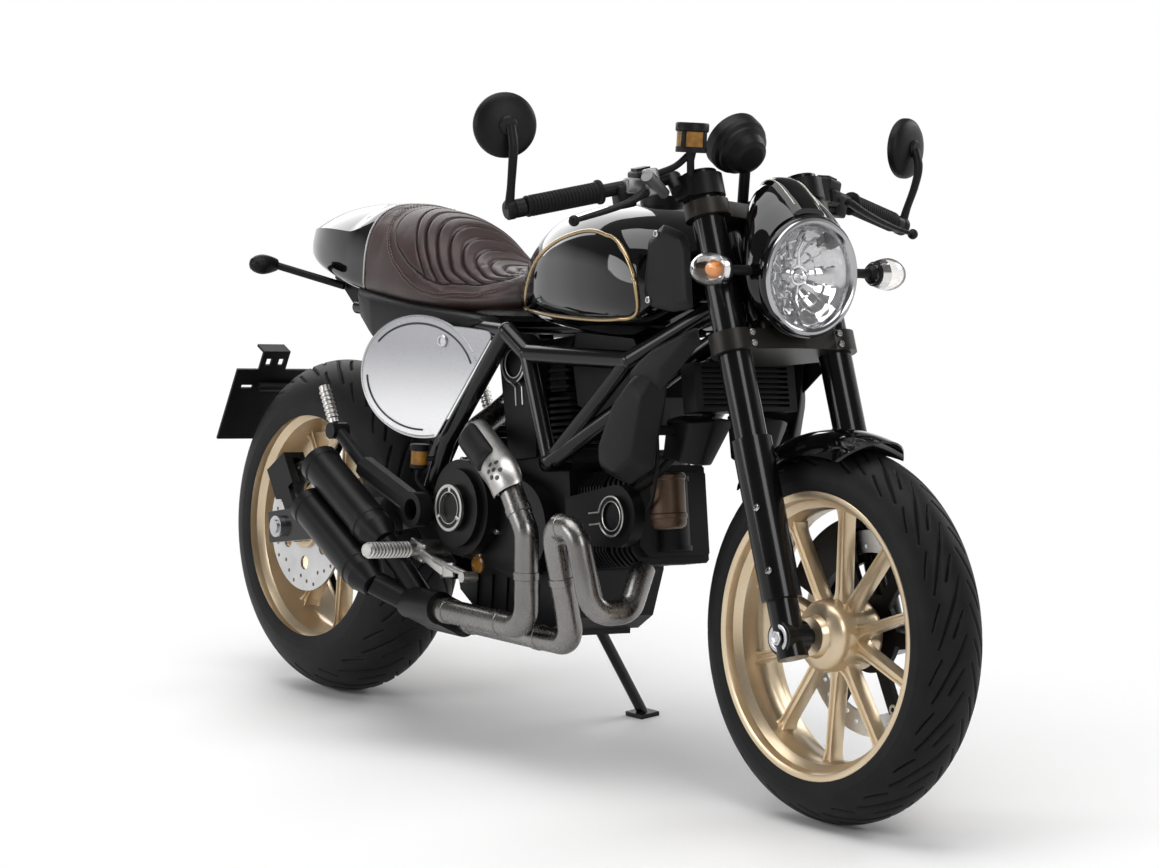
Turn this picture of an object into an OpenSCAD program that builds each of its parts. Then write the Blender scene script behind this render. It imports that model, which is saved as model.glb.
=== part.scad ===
// Cafe racer motorcycle, parked on its side stand
// All sizes in millimetres. The bike is drawn upright with x = 0 near the middle of the wheelbase,
// front at +X, left at +Y, and every piece is then leaned over onto the stand.

/* [Chassis] */
// Distance between the axles
wheelbase = 1436; // [1430:1:1440]
// Steering axis angle from vertical
rake = 21.8; // [21.6:0.1:22]
// Steering axis ahead of the front contact point
trail = 94; // [92:1:96]
// Lean of the parked bike to its left
lean = 8; // [7.5:0.1:8.5]
// Frame tube outer diameter
frame_tube = 32; // [28:1:34]

/* [Wheels] */
// Front tyre outer radius
front_radius = 300; // [299:1:301]
// Front tyre width
front_width = 120; // [116:1:122]
// Front tyre section height, tread to rim
front_section = 71; // [70:1:72]
// Rear tyre outer radius
rear_radius = 315; // [314:1:316]
// Rear tyre width
rear_width = 180; // [176:1:182]
// Rear tyre section height, tread to rim
rear_section = 86; // [85:1:87]
// Number of spokes in each wheel, in pairs
spokes = 10; // [8:2:12]
// Front brake disc diameter
front_disc_diameter = 330; // [320:2:332]
// Rear brake disc diameter
rear_disc_diameter = 245; // [230:5:250]

/* [Front end] */
// Distance between the fork legs
fork_spacing = 210; // [208:1:212]
// Fork outer tube diameter
fork_tube = 54; // [50:1:54]
// Fork inner tube diameter
fork_stanchion = 41; // [39:1:43]
// Headlight rim diameter
headlight_diameter = 190; // [184:1:194]
// Mirror diameter
mirror_diameter = 104; // [96:2:110]

/* [Engine] */
// Cylinder core diameter
barrel_diameter = 124; // [116:2:128]
// Number of fins on each cylinder
fins = 9; // [8:1:10]
// Clutch cover radius
clutch_radius = 90; // [84:1:92]
// Exhaust pipe outer diameter
header_diameter = 42; // [38:1:44]
// Silencer barrel diameter
silencer_diameter = 70; // [64:1:72]

/* [Hidden] */
$fn = 48;

// Positions that follow from the sizes
front_x = 718;
rear_x = front_x - wheelbase;
steer_offset = (front_radius * sin(rake)) - trail * cos(rake);
// Middle of the upper fork clamp, which carries the bars, lamp and instruments
head_back = 239.593;
head_up = 663.962;
head = [front_x - steer_offset * cos(rake) - head_back, 0, front_radius - steer_offset * sin(rake) + head_up];
leg_y = fork_spacing / 2;
fit = 0.05;
gap = 0.3;
tube_r = frame_tube / 2;
crank = [15, 397];
cylinder_tilt = 10;
pivot = [-250, 400];
chain_y = 107;
front_sprocket = [-165, 395];
rear_pitch_r = 116;
front_pitch_r = 38;

// Stand foot and its place on the leaned ground
stand_pivot = [-130, 118, 262];
stand_axis = unit([0.07, 0.86, 0.51]);
foot = [-90, 245];
crown_r = rear_width / 2;
lift = crown_r * (1 - cos(lean));

// Vector helpers
function unit(v) = v / norm(v);
function flip(p) = [p[0], -p[1], p[2]];

// Smooth value along a table of rows, column c, by a cubic through the rows
function row_at(t, x, i = 0) = i >= len(t) - 2 || x <= t[i + 1][0] ? i : row_at(t, x, i + 1);
function slope_at(t, i, c) =
  i == 0 ? (t[1][c] - t[0][c]) / (t[1][0] - t[0][0]) :
  i == len(t) - 1 ? (t[i][c] - t[i - 1][c]) / (t[i][0] - t[i - 1][0]) :
  (t[i + 1][c] - t[i - 1][c]) / (t[i + 1][0] - t[i - 1][0]);
function cubic(t, x, c, i) =
  let (h = t[i + 1][0] - t[i][0], u = (x - t[i][0]) / h)
  t[i][c] * (1 + 2 * u) * (1 - u) * (1 - u) + h * slope_at(t, i, c) * u * (1 - u) * (1 - u)
  + t[i + 1][c] * u * u * (3 - 2 * u) + h * slope_at(t, i + 1, c) * u * u * (u - 1);
function along(t, x, c) = cubic(t, x, c, row_at(t, x));

// Signed power for rounded sections
function spow(v, p) = v < 0 ? -pow(-v, p) : pow(v, p);

// Closed skin through rings of equal point count
module skin(rings) {
  n = len(rings);
  m = len(rings[0]);
  pts = [for (ring = rings) for (p = ring) p];
  sides = [for (i = [0 : n - 2]) for (j = [0 : m - 1]) for (k = [0, 1])
    let (a = i * m + j, b = i * m + (j + 1) % m, c = a + m, d = b + m)
    k == 0 ? [a, c, b] : [b, c, d]];
  first = [[for (j = [0 : m - 1]) j]];
  last = [[for (j = [m - 1 : -1 : 0]) (n - 1) * m + j]];
  polyhedron(points = pts, faces = concat(sides, first, last), convexity = 6);
}

// Rounded body section at x: columns are x, half width, bottom, top, height of the widest line, rake of the ring
function body_point(t, x, a, n_up, n_low) =
  let (w = along(t, x, 1), zb = along(t, x, 2), zt = along(t, x, 3), zc = along(t, x, 4), k = along(t, x, 5),
    up = sin(a) >= 0, n = up ? n_up : n_low,
    z = zc + (up ? zt - zc : zc - zb) * spow(sin(a), 2 / n))
  [x - k * (z - 850), w * spow(cos(a), 2 / n), z];
module body(t, n_up, n_low, steps, m) {
  x0 = t[0][0];
  x1 = t[len(t) - 1][0];
  skin([for (i = [0 : steps]) let (x = x0 + (x1 - x0) * i / steps)
    [for (j = [0 : m - 1]) body_point(t, x, j * 360 / m, n_up, n_low)]]);
}

// Straight bar between two points
module rod(a, b, r) {
  d = b - a;
  translate(a) rotate([0, acos(d[2] / norm(d)), atan2(d[1], d[0])]) cylinder(h = norm(d), r = r);
}

// Bar along Y
module cross_bar(x, z, y0, y1, r) {
  translate([x, y0, z]) rotate([-90, 0, 0]) cylinder(h = y1 - y0, r = r);
}

// Flat outline in X and Z given a thickness along Y
module side_plate(y0, y1) {
  translate([0, y1, 0]) rotate([90, 0, 0]) linear_extrude(y1 - y0) children();
}

// Route with round bends: corner points are replaced by arcs of one bend radius
function bend_cut(pts, i, bend) =
  bend * tan(acos(unit(pts[i] - pts[i - 1]) * unit(pts[i + 1] - pts[i])) / 2);
function bend_points(pts, i, bend, steps) =
  let (d1 = unit(pts[i] - pts[i - 1]), d2 = unit(pts[i + 1] - pts[i]), turn = acos(d1 * d2),
    inward = unit(d2 - d1 * (d1 * d2)), c = pts[i] - d1 * bend_cut(pts, i, bend) + inward * bend)
  [for (k = [0 : steps]) c - inward * bend * cos(turn * k / steps) + d1 * bend * sin(turn * k / steps)];
function route(pts, bend, steps) = concat([pts[0]],
  [for (i = [1 : len(pts) - 2]) for (p = bend_points(pts, i, bend, steps)) p], [pts[len(pts) - 1]]);
function heading(w, i) = i == 0 ? unit(w[1] - w[0]) : i == len(w) - 1 ? unit(w[i] - w[i - 1]) :
  unit(unit(w[i] - w[i - 1]) + unit(w[i + 1] - w[i]));
function square_to(v, t) = unit(v - t * (v * t));
// Round pipe swept along a route, one ring at each point
module pipe(pts, r, bend, steps = 5, m = 16) {
  w = route(pts, bend, steps);
  n = len(w);
  t = [for (i = [0 : n - 1]) heading(w, i)];
  start = square_to(abs(t[0][2]) < 0.9 ? [0, 0, 1] : [1, 0, 0], t[0]);
  u = [for (i = 0, v = start; i < n; i = i + 1, v = i < n ? square_to(v, t[i]) : v) v];
  skin([for (i = [0 : n - 1]) let (v = cross(t[i], u[i]))
    [for (j = [0 : m - 1]) w[i] + r * (u[i] * cos(j * 360 / m) + v * sin(j * 360 / m))]]);
}

module both_sides() {
  children();
  mirror([0, 1, 0]) children();
}

// Leaned over onto the stand
module parked() { translate([20.6, -149.6, lift]) rotate([-lean, 0, 0]) children(); }
// Fork frame: origin on the front axle, Z up the fork legs
module on_fork() { translate([front_x, 0, front_radius]) rotate([0, -rake, 0]) children(); }
// Wheel frames: Z along the axle to the left
module on_front_axle() { translate([front_x, 0, front_radius]) rotate([-90, 0, 0]) children(); }
module on_rear_axle() { translate([rear_x, 0, rear_radius]) rotate([-90, 0, 0]) children(); }

// Frame
module main_frame() color("dimgray") {
  // Steering head with its bore
  on_fork() translate([-steer_offset, 0, 528]) difference() {
    cylinder(h = 159, r = 34);
    translate([0, 0, -1]) cylinder(h = 161, r = 24);
  }
  both_sides() {
    rod(head + [12, 38, -131], [290, 118, 702], tube_r);
    rod([290, 118, 702], [30, 138, 694], tube_r);
    rod(head + [24, 40, -177], [112, 140, 518], tube_r);
    rod([290, 118, 702], [112, 140, 518], tube_r * 0.8);
    rod([112, 140, 518], [30, 138, 694], tube_r * 0.9);
    rod([30, 138, 694], [-30, 140, 728], tube_r);
    rod([-30, 140, 728], [-195, 140, 525], tube_r);
    rod([-195, 140, 525], [-245, 134, 430], tube_r);
    rod([-30, 140, 728], [-560, 100, 738], tube_r * 0.8);
    rod([-205, 138, 540], [-470, 104, 734], tube_r * 0.7);
    for (p = [[290, 118, 702], [30, 138, 694], [-30, 140, 728], [-195, 140, 525], [112, 140, 518]])
      translate(p) sphere(r = tube_r * 1.03);
    cross_bar(112, 518, 105.3, 150, 18);
    side_plate(118, 132) polygon([[-222, 560], [-180, 532], [-214, 478], [-226, 414], [-214, 348],
      [-160, 318], [-160, 284], [-205, 280], [-292, 368], [-292, 442]]);
  }
  cross_bar(-118, 730, -132, 132, tube_r * 0.7);
  cross_bar(-230, 725.5, -125, 125, 9);
  cross_bar(-195, 540, -140, 140, tube_r * 0.7);
  cross_bar(-552, 738, -100, 100, tube_r * 0.7);
  // Bar under the seat base
  cross_bar(seat_rest_x, along(seat_rows, seat_rest_x, 2) - seat_rest_r - gap - 0.1, -111, 111, seat_rest_r);
}

// Swinging arm
arm_slope = atan2(pivot[1] - rear_radius, pivot[0] - rear_x);
arm_length = norm([pivot[0] - rear_x, pivot[1] - rear_radius]);
nose = rear_radius - arm_length;
half_tyre = rear_width / 2;
module swingarm() color("black") {
  translate([pivot[0], 0, pivot[1]]) rotate([0, -arm_slope, 0]) difference() {
    intersection() {
      translate([0, 0, -60]) linear_extrude(120) {
        both_sides() polygon([[-20, 0], [-20, 90], [-130, 104], [-245, 130], [-345, 148], [-arm_length - 42, 148],
          [-arm_length - 42, 117], [nose - 190, 117], [nose - 140, half_tyre + 9], [nose - 85, half_tyre + 7],
          [nose - 55, half_tyre + 1], [nose - 30, half_tyre - 13], [nose - 5, half_tyre - 40],
          [nose + 30, half_tyre - 50], [nose + 30, 0]]);
      }
      side_plate(-160, 160) polygon([[0, -22], [0, 22], [-60, 28], [-220, 34], [-arm_length - 42, 30],
        [-arm_length - 42, -28], [-220, -34], [-60, -28]]);
    }
    both_sides() cross_bar(-arm_length, 0, 90, 160, 12.5 + fit);
  }
  cross_bar(pivot[0], pivot[1], -117.7, 117.7, 22);
}

module rear_axle() color("silver") {
  cross_bar(rear_x, rear_radius, -164, 164, 12.5);
  both_sides() {
    cross_bar(rear_x, rear_radius, 100.3, 116.9, 18);
    cross_bar(rear_x, rear_radius, 148.1, 160, 20);
  }
}

// Rear shock on the left
shock_x = -385;
shock_low = [shock_x, 80, pivot[1] + (shock_x - pivot[0]) * tan(arm_slope) + 48];
shock_top = [-230, 80, 700];
module rear_shock() color("gold") {
  d = unit(shock_top - shock_low);
  rod(shock_low, shock_top, 9);
  rod(shock_low + d * 60, shock_top - d * 70, 20);
  for (i = [0 : 8]) {
    s = shock_low + d * (72 + i * 18);
    rod(s, s + d * 9, 32);
  }
  rod(shock_low + d * 56, shock_low + d * 64, 34);
  rod(shock_top - d * 80, shock_top - d * 70, 34);
  cross_bar(shock_low[0], shock_low[2], 64, 96, 16);
  cross_bar(shock_top[0], shock_top[2], 64, 96, 16);
}

// Drive chain
function chain_outline(grow) =
  let (d = front_sprocket - [rear_x, rear_radius], base = atan2(d[1], d[0]),
    swing = acos((rear_pitch_r - front_pitch_r) / norm(d)))
  concat([for (k = [0 : 36]) let (a = base + swing + (360 - 2 * swing) * k / 36)
      [rear_x, rear_radius] + (rear_pitch_r + grow) * [cos(a), sin(a)]],
    [for (k = [0 : 12]) let (a = base - swing + 2 * swing * k / 12)
      front_sprocket + (front_pitch_r + grow) * [cos(a), sin(a)]]);
module chain() color("goldenrod") {
  side_plate(chain_y - 8, chain_y + 8) difference() {
    polygon(chain_outline(5));
    polygon(chain_outline(-5));
  }
  // Outer link plates, thinner than the rollers between them
  side_plate(chain_y + 7.9, chain_y + 10) chain_links();
}
module chain_links() {
  d = front_sprocket - [rear_x, rear_radius];
  base = atan2(d[1], d[0]);
  swing = acos((rear_pitch_r - front_pitch_r) / norm(d));
  run = norm(d) * sin(swing);
  for (s = [-1, 1]) {
    a = base + s * swing;
    from = [rear_x, rear_radius] + rear_pitch_r * [cos(a), sin(a)];
    along_run = [sin(a), -cos(a)] * s;
    count = floor(run / 32);
    for (i = [0 : count - 1]) translate(from + along_run * (i * 32 + 4)) rotate(a - s * 90)
      polygon([[0, -3], [3, -6], [9, -6], [12, -4.4], [15, -6], [21, -6], [24, -3], [24, 3], [21, 6], [15, 6],
        [12, 4.4], [9, 6], [3, 6], [0, 3]]);
  }
  for (k = [1 : 10]) {
    a = base + swing + (360 - 2 * swing) * k / 11;
    translate([rear_x, rear_radius] + rear_pitch_r * [cos(a), sin(a)]) rotate(a - 90)
      polygon([[-12, -3], [-9, -6], [-3, -6], [0, -4.4], [3, -6], [9, -6], [12, -3], [12, 3], [9, 6], [3, 6],
        [0, 4.4], [-3, 6], [-9, 6], [-12, 3]]);
  }
}

// Fuel tank: x, half width, bottom, top, widest, rake of the ring
tank_rows = [[-79.7, 80, 752, 842, 790, 0], [-30, 106, 744, 898, 808, 0], [40, 136, 738, 936, 826, 0.05],
  [120, 155, 736, 954, 836, 0.1], [200, 166, 736, 960, 842, 0.18], [280, 166, 746, 957, 848, 0.28],
  [340, 152, 778, 946, 852, 0.36], [375, 124, 802, 926, 856, 0.4], [392, 80, 822, 892, 858, 0.4]];
tank_n = 2.5;
tank_low_n = 3.2;
module fuel_tank() color("black") body(tank_rows, tank_n, tank_low_n, 26, 36);

// Tank side panels with the teardrop outline
panel_rows = [[-26, 764, 772], [30, 758, 846], [100, 760, 886], [180, 764, 906], [250, 776, 914], [300, 800, 906],
  [336, 858, 870]];
function tank_side(s, z) =
  let (w = along(tank_rows, s, 1), zb = along(tank_rows, s, 2), zt = along(tank_rows, s, 3),
    zc = along(tank_rows, s, 4), n = z > zc ? tank_n : tank_low_n, q = z > zc ? (z - zc) / (zt - zc) : (zc - z) / (zc - zb))
  w * pow(1 - pow(q, n), 1 / n);
function panel_point(s, z, out) = [s - along(tank_rows, s, 5) * (z - 850), tank_side(s, z) + out, z];
module tank_panels() color("black") both_sides() {
  skin([for (i = [0 : 16]) let (s = -26 + 362 * i / 16, z0 = along(panel_rows, s, 1), z1 = along(panel_rows, s, 2))
    [for (j = [0 : 8]) panel_point(s, z0 + (z1 - z0) * j / 8, j == 0 || j == 8 ? 2 : 4),
     for (j = [8 : -1 : 0]) panel_point(s, z0 + (z1 - z0) * j / 8, -1)]]);
}

module fuel_cap() color("black") translate([205, 0, 0]) {
  translate([0, 0, 950]) cylinder(h = 20, r = 38);
  translate([0, 0, 969.9]) cylinder(h = 5, r = 32);
}

// Seat: x, half width, bottom, top, widest, rake
seat_rest_x = -400;
seat_rest_r = 9;
seat_rows = [[-520, 118, 758, 931, 800, 0], [-457, 130, 756, 928, 798, 0], [-408, 136, 753, 918, 796, 0],
  [-358, 140, 750, 900, 792, 0], [-309, 140, 747, 872, 788, 0], [-250, 137, 745, 842, 784, 0],
  [-190, 124, 746, 828, 782, 0], [-130, 104, 752, 828, 786, 0], [-80, 78, 762, 832, 792, 0]];
module seat() color("saddlebrown") body(seat_rows, 2.8, 4, 20, 32);

// Tail
tail_rows = [[-802, 40, 822, 872, 848, 0], [-790, 58, 818, 886, 845, 0], [-760, 76, 809, 903, 838, 0],
  [-710, 95, 796, 917, 828, 0], [-650, 108, 783, 926, 817, 0], [-580, 116, 768, 931, 806, 0],
  [-520.3, 118, 758, 931, 800, 0]];
function tail_low(x) = along(tail_rows, x, 2) - 2 * gap;
module tail_cowl() color("black") body(tail_rows, 2.8, 4, 16, 32);

module undertail() color("black") {
  difference() {
    side_plate(-60, 60) polygon(concat([[-571, 722], [-500, 722], [-500, 672], [-558, 687], [-622, 727], [-668, 762],
      [-706, 784]], [for (x = [-706 : 15 : -571]) [x, tail_low(x)]]));
    side_plate(-50, 50) polygon([[-590, 660], [-590, 745], [-680, 770], [-700, 660]]);
    side_plate(-50, 50) polygon([[-562, 640], [-562, 712], [-508, 712], [-508, 640]]);
  }
}

module tail_light() color("red") {
  side_plate(-46, 46) polygon(concat([[-706.3, 784], [-745, 796], [-778, 811]],
    [for (x = [-778, -760, -742, -724, -706.3]) [x, tail_low(x)]]));
}

// Rear turn lamps on stalks
module egg(length, r) {
  rotate_extrude() polygon(concat([[0, 0]], [for (i = [0 : 10]) let (u = i / 10)
    [r * (0.42 + 0.58 * sin(20 + 70 * min(1, u * 1.7))) * sqrt(max(0, 1 - pow(max(0, (u - 0.45) / 0.55), 2))), length * u]]));
}
module rear_indicators() color("black") both_sides() {
  rod([-664, 65.8, 771], [-776, 152, 803], 7);
  translate([-776, 148, 803]) rotate([-90, 0, 0]) egg(58, 19);
}

// Side number boards, left blank
module number_boards() color("lightgray") both_sides() {
  translate([-200, 176, 635]) rotate([0, 0, -12]) side_plate(0, 3) difference() {
    union() {
      polygon([for (a = [0 : 6 : 354]) [-38 + 136 * cos(a), 108 * sin(a)]]);
      polygon([[-20, 106], [60, 94], [122, 90], [140, 70], [20, -70], [-38, 0]]);
    }
    polygon([[130, 92], [8, -98], [-4, -120], [300, -120], [300, 92]]);
  }
  cross_bar(-230, 731.8, 138.6, 183.8, 6);
  cross_bar(-285, 724, 134.2, 195.4, 6);
}

// Black shrouds beside the steering head
module facets(inner, y0, outer, y1) {
  hull() {
    side_plate(y0, y0 + 2) polygon(inner);
    side_plate(y1 - 1, y1) polygon(outer);
  }
}
module side_shrouds() color("black") both_sides() {
  facets([[256, 567], [301, 645], [346, 690], [405, 723], [428, 728], [424, 640], [400, 532], [341, 498], [266, 515]], 140,
    [[292, 560], [324, 632], [368, 674], [398, 640], [384, 550], [338, 522], [294, 530]], 176);
  facets([[330, 672], [400, 734], [508, 774], [520, 746], [470, 700], [410, 650]], 151,
    [[358, 690], [410, 724], [496, 758], [494, 746], [436, 696]], 169);
  cross_bar(340, 679, 104, 145, 8.8);
  translate([340, 104, 679]) sphere(r = 9);
  // Lower cover under the cooler, carried by both shrouds
  cross_bar(392, 596, 100, 142, 8);
  hull() {
    side_plate(0, 70) polygon([[372, 618], [462, 618], [482, 566], [440, 545], [352, 548]]);
    side_plate(0, 104) polygon([[378, 612], [440, 612], [452, 566], [424, 550], [360, 552]]);
  }
}

module oil_cooler() color("dimgray") {
  translate(head + [-22, 0, -287]) rotate([0, -12, 0]) {
    difference() {
      cube([34, 212, 80], center = true);
      for (i = [0 : 7]) translate([12, 0, -30.4 + i * 8.7]) cube([16, 180, 5], center = true);
      for (i = [0 : 7]) translate([-12, 0, -30.4 + i * 8.7]) cube([16, 180, 5], center = true);
    }
    both_sides() translate([0, 56, 39]) cylinder(h = 9.2, r = 7);
  }
}

module airbox() color("black") {
  side_plate(-74, 74) polygon([[95, 612], [230, 572], [282, 640], [282, 684], [240, 734.9], [80, 734.9], [72, 690]]);
}

// Engine
module crankcase() color("dimgray") {
  side_plate(-100, 92) polygon([[-212, 335], [-206, 455], [-150, 488], [-89, 495.7], [79, 525.4], [114, 500.7],
    [143.6, 333], [120, 250], [80, 222], [-120, 222], [-190, 262]]);
  cross_bar(112, 518, -105, 105, 18);
  side_plate(-90, 90) polygon([[79, 500], [110, 480], [120, 505], [112, 534], [94, 530]]);
  cross_bar(-185, 300, -117.7, 117.7, 18);
  for (i = [0 : 6]) translate([-96 + i * 28, -84, 213]) cube([7, 160, 12]);
  for (i = [0 : 4]) translate([-140 + i * 44, -104, 240]) cube([8, 10, 60]);
  cross_bar(front_sprocket[0], front_sprocket[1], 91, chain_y + 4, front_pitch_r - 6);
  // Lug that carries the side stand
  rod(stand_pivot - stand_axis * 50, stand_pivot - stand_axis * 15.3, 16);
}

module clutch_cover() color("black") {
  side_plate(-128, -100) {
    translate([-126, 414]) circle(r = clutch_radius);
    translate([10, 392]) circle(r = 84);
    polygon([[-120, 505], [20, 476], [10, 308], [-140, 325]]);
  }
  translate([-126, -127.9, 414]) rotate([90, 0, 0]) {
    cylinder(h = 26, r = clutch_radius - 6);
    translate([0, 0, 25]) cylinder(h = 12, r = 68);
    translate([0, 0, 36]) difference() {
      cylinder(h = 14, r = 40);
      translate([0, 0, 6]) cylinder(h = 20, r = 28);
    }
  }
}

module alternator_cover() color("black") {
  side_plate(92, 120) {
    translate(crank) circle(r = 92);
    translate([-70, 380]) circle(r = 52);
    polygon([[15, 489], [-80, 432], [-80, 330], [15, 305]]);
  }
  translate([crank[0], 119.9, crank[1]]) rotate([-90, 0, 0]) {
    cylinder(h = 18, r = 78);
    translate([0, 0, 17]) cylinder(h = 8, r = 52);
  }
  side_plate(118.5, 138) {
    translate(front_sprocket) circle(r = 50);
    polygon([[-165, 445], [-70, 425], [-70, 335], [-165, 345]]);
  }
}

// Crank centre to the belt pulley of each cylinder
front_reach = 254;
rear_reach = 280;
// One finned cylinder along Z from the crank centre, with its rounded cam cover across the top
module finned_cylinder(reach) {
  head_low = reach - 54;
  pitch = (head_low - 116) / (fins + 1);
  translate([0, 0, 116]) cylinder(h = head_low - 114, r = barrel_diameter / 2);
  for (i = [0 : fins - 1]) translate([0, 0, 116 + pitch * (i + 0.6)]) linear_extrude(pitch * 0.45) intersection() {
    square([164, 176], center = true);
    circle(r = 104);
  }
  translate([0, 0, head_low]) linear_extrude(76) intersection() {
    translate([-70, -80]) square([140, 146]);
    circle(r = 94);
  }
  for (i = [0 : 4]) translate([0, 0, head_low + 5 + i * 14]) linear_extrude(5) intersection() {
    translate([-83, -88]) square([166, 160]);
    circle(r = 106);
  }
  translate([-58, -8, reach + 16]) rotate([0, 90, 0]) cylinder(h = 116, r = 31);
  for (x = [-62, 54]) translate([x, -8, reach + 16]) rotate([0, 90, 0]) cylinder(h = 8, r = 34);
}
module on_front_cylinder() { translate([crank[0], 0, crank[1]]) rotate([0, 90 - cylinder_tilt, 0]) children(); }
module on_rear_cylinder() { translate([crank[0], 0, crank[1]]) rotate([0, -cylinder_tilt, 0]) children(); }
module front_cylinder() color("dimgray") on_front_cylinder() finned_cylinder(front_reach);
module rear_cylinder() color("dimgray") on_rear_cylinder() finned_cylinder(rear_reach);

// Timing belt covers on the right
module belt_cover(reach) {
  translate([0, -89, 0]) rotate([90, 0, 0]) {
    linear_extrude(23) {
      translate([0, reach]) circle(r = 52);
      polygon([[-52, reach], [52, reach], [40, 116], [-40, 116]]);
    }
    translate([0, reach, 22.9]) difference() {
      cylinder(h = 9, r = 34);
      translate([0, 0, 4]) cylinder(h = 10, r = 24);
    }
  }
}
module belt_covers() color("black") {
  on_front_cylinder() belt_cover(front_reach);
  on_rear_cylinder() belt_cover(rear_reach);
}

// Exhaust
rear_route = [[-96, -40, 628], [-140, -55, 590], [-100, -152, 548], [62, -194, 488], [122, -188, 400], [124, -180, 236],
  [-130, -180, 236]];
module exhaust_headers() color("silver") {
  r = header_diameter / 2;
  pipe(rear_route, r, 40);
  pipe([[280, -60, 354], [316, -112, 288], [304, -178, 284], [272, -197, 424], [200, -192, 418], [190, -130, 216],
    [-130, -130, 216]], r, 38);
}

// Shield along the outer side of the rear pipe, with seven holes near its lower end
module heat_shield() color("black") {
  r = header_diameter / 2;
  hole_at = rear_route[3] + (rear_route[4] - rear_route[3]) * 0.25;
  difference() {
    intersection() {
      pipe(rear_route, r + 7, 40);
      translate(rear_route[2]) rotate([0, 0, -14.5]) translate([16, -60, -160]) cube([190, 54, 260]);
    }
    pipe(rear_route, r + gap, 40);
    for (k = [0 : 6]) translate(hole_at + (k == 6 ? [0, 0, 0] : [13 * cos(k * 60), 0, 13 * sin(k * 60)]))
      rotate([90, 0, 0]) cylinder(h = 60, r = 4, $fn = 20);
  }
}

sil_dir = unit([-238, 0, 126]);
module barrel() {
  r = silencer_diameter / 2;
  rotate_extrude() polygon([[0, 0], [22, 0], [r, 34], [r, 52], [r + 2, 54], [r + 2, 66], [r, 68], [r, 236], [r + 2, 238],
    [r + 2, 254], [r - 6, 262], [24, 262], [24, 236], [0, 236]]);
}
module silencers() color("black") {
  // Collector around both pipe ends
  translate([-130, 0, 0]) rotate([0, -90, 0]) linear_extrude(96) {
    translate([238, -182]) circle(r = 29);
    translate([214, -128]) circle(r = 29);
    polygon([[263.1, -170.8], [239.1, -116.8], [188.9, -139.2], [212.9, -193.2]]);
  }
  rod([-215, -170, 232], [-262, -238, 270], 22);
  rod([-205, -165, 240], [-258, -222, 346], 20);
  for (p = [[-256, -238, 264], [-252, -222, 340]])
    translate(p) rotate([0, atan2(sil_dir[0], sil_dir[2]), 0]) barrel();
}

module peg_hangers() color("dimgray") both_sides() {
  cross_bar(-262, 396, 132.3, 182, 20);
  difference() {
    union() {
      translate([-240, 178, 411]) rotate([0, -72.6, 0]) rotate([0, 0, 22.5]) cylinder(h = 160, r = 21, $fn = 8);
      cross_bar(-214, 402, 171, 198, 31);
    }
    cross_bar(-214, 402, 160, 210, 19);
  }
  rod([-385, 178, 456], [-498, 172, 515], 12);
  cross_bar(-498, 515, 156, 190, 15);
}

module foot_controls() color("silver") both_sides() {
  cross_bar(-215, 330, 132.3, 174, 18);
  rod([-215, 165, 331], [-184, 306, 336], 11);
  rod([-208, 178, 326], [-30, 192, 306], 6);
  cross_bar(-26, 306, 184, 214, 9);
  // Passenger peg, folded up
  rod([-506.1, 176, 528.3], [-543, 178, 592], 9);
}

// Plate carrier behind the rear wheel
module plate_bracket() color("black") {
  axle = [rear_x, 0, rear_radius];
  // The carrier keeps its distance from the tread
  reach = rear_radius + 52;
  top = [-reach * cos(41), 0, reach * sin(41)];
  route_points = [axle + [-35, 160, 7], axle + [-242, 140, 155], axle + top + [0, 110, 0], axle + top + [0, -40, 0]];
  for (i = [0 : 2]) rod(route_points[i], route_points[i + 1], 9);
  for (i = [1 : 2]) translate(route_points[i]) sphere(r = 9.4);
  cross_bar(rear_x - 35, rear_radius + 7, 148.3, 166, 14);
  translate(axle + top + [-29.02, 0, -35.77]) rotate([0, 25, 0]) difference() {
    cube([5, 184, 156], center = true);
    for (y = [-60, 60]) translate([0, y, 40]) cube([20, 26, 7], center = true);
  }
  // Lamp hook on the upper edge
  translate(axle + top + [-29.02, 0, -35.77]) rotate([0, 25, 0]) difference() {
    union() {
      translate([-2.5, -44, 77]) cube([5, 60, 42]);
      translate([-26.5, -44, 114]) cube([29, 60, 5]);
    }
    for (y = [-33, -5]) translate([-10, y, 88]) cube([20, 12, 14]);
  }
}

module rear_caliper() color("dimgray") {
  on_rear_axle() rotate([0, 0, -125]) {
    translate([0, 0, -116.7]) linear_extrude(11) difference() {
      union() {
        circle(r = 30);
        translate([0, -16]) square([110, 32]);
      }
      circle(r = 18 + fit);
    }
    translate([0, 0, -116.7]) difference() {
      translate([76, -34, 0]) cube([64, 68, 45]);
      translate([60, -40, 17]) cube([68, 80, 16]);
    }
  }
}

// Fork
module fork_tubes() color("black") both_sides() on_fork()
  translate([0, leg_y, 250]) cylinder(h = 520, r = fork_tube / 2);

module fork_legs() color("dimgray") {
  both_sides() on_fork() {
    translate([0, leg_y, 0]) cylinder(h = 250, r = fork_stanchion / 2);
    translate([0, leg_y, -34]) cylinder(h = 120, r = 25);
    translate([0, 80, 0]) rotate([-90, 0, 0]) cylinder(h = 46, r = 27);
    translate([0, leg_y, 60]) difference() {
      cylinder(h = 262, r = fork_tube / 2 + 6);
      translate([0, 0, 14]) cylinder(h = 260, r = fork_tube / 2 + 1);
      translate([-80, -60, -1]) cube([66, 120, 300]);
      translate([-80, -60, -1]) cube([160, 38, 300]);
    }
  }
  cross_bar(front_x, front_radius, -130, 130, 12.5);
  both_sides() cross_bar(front_x, front_radius, 74.3, 81, 17);
}

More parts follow.
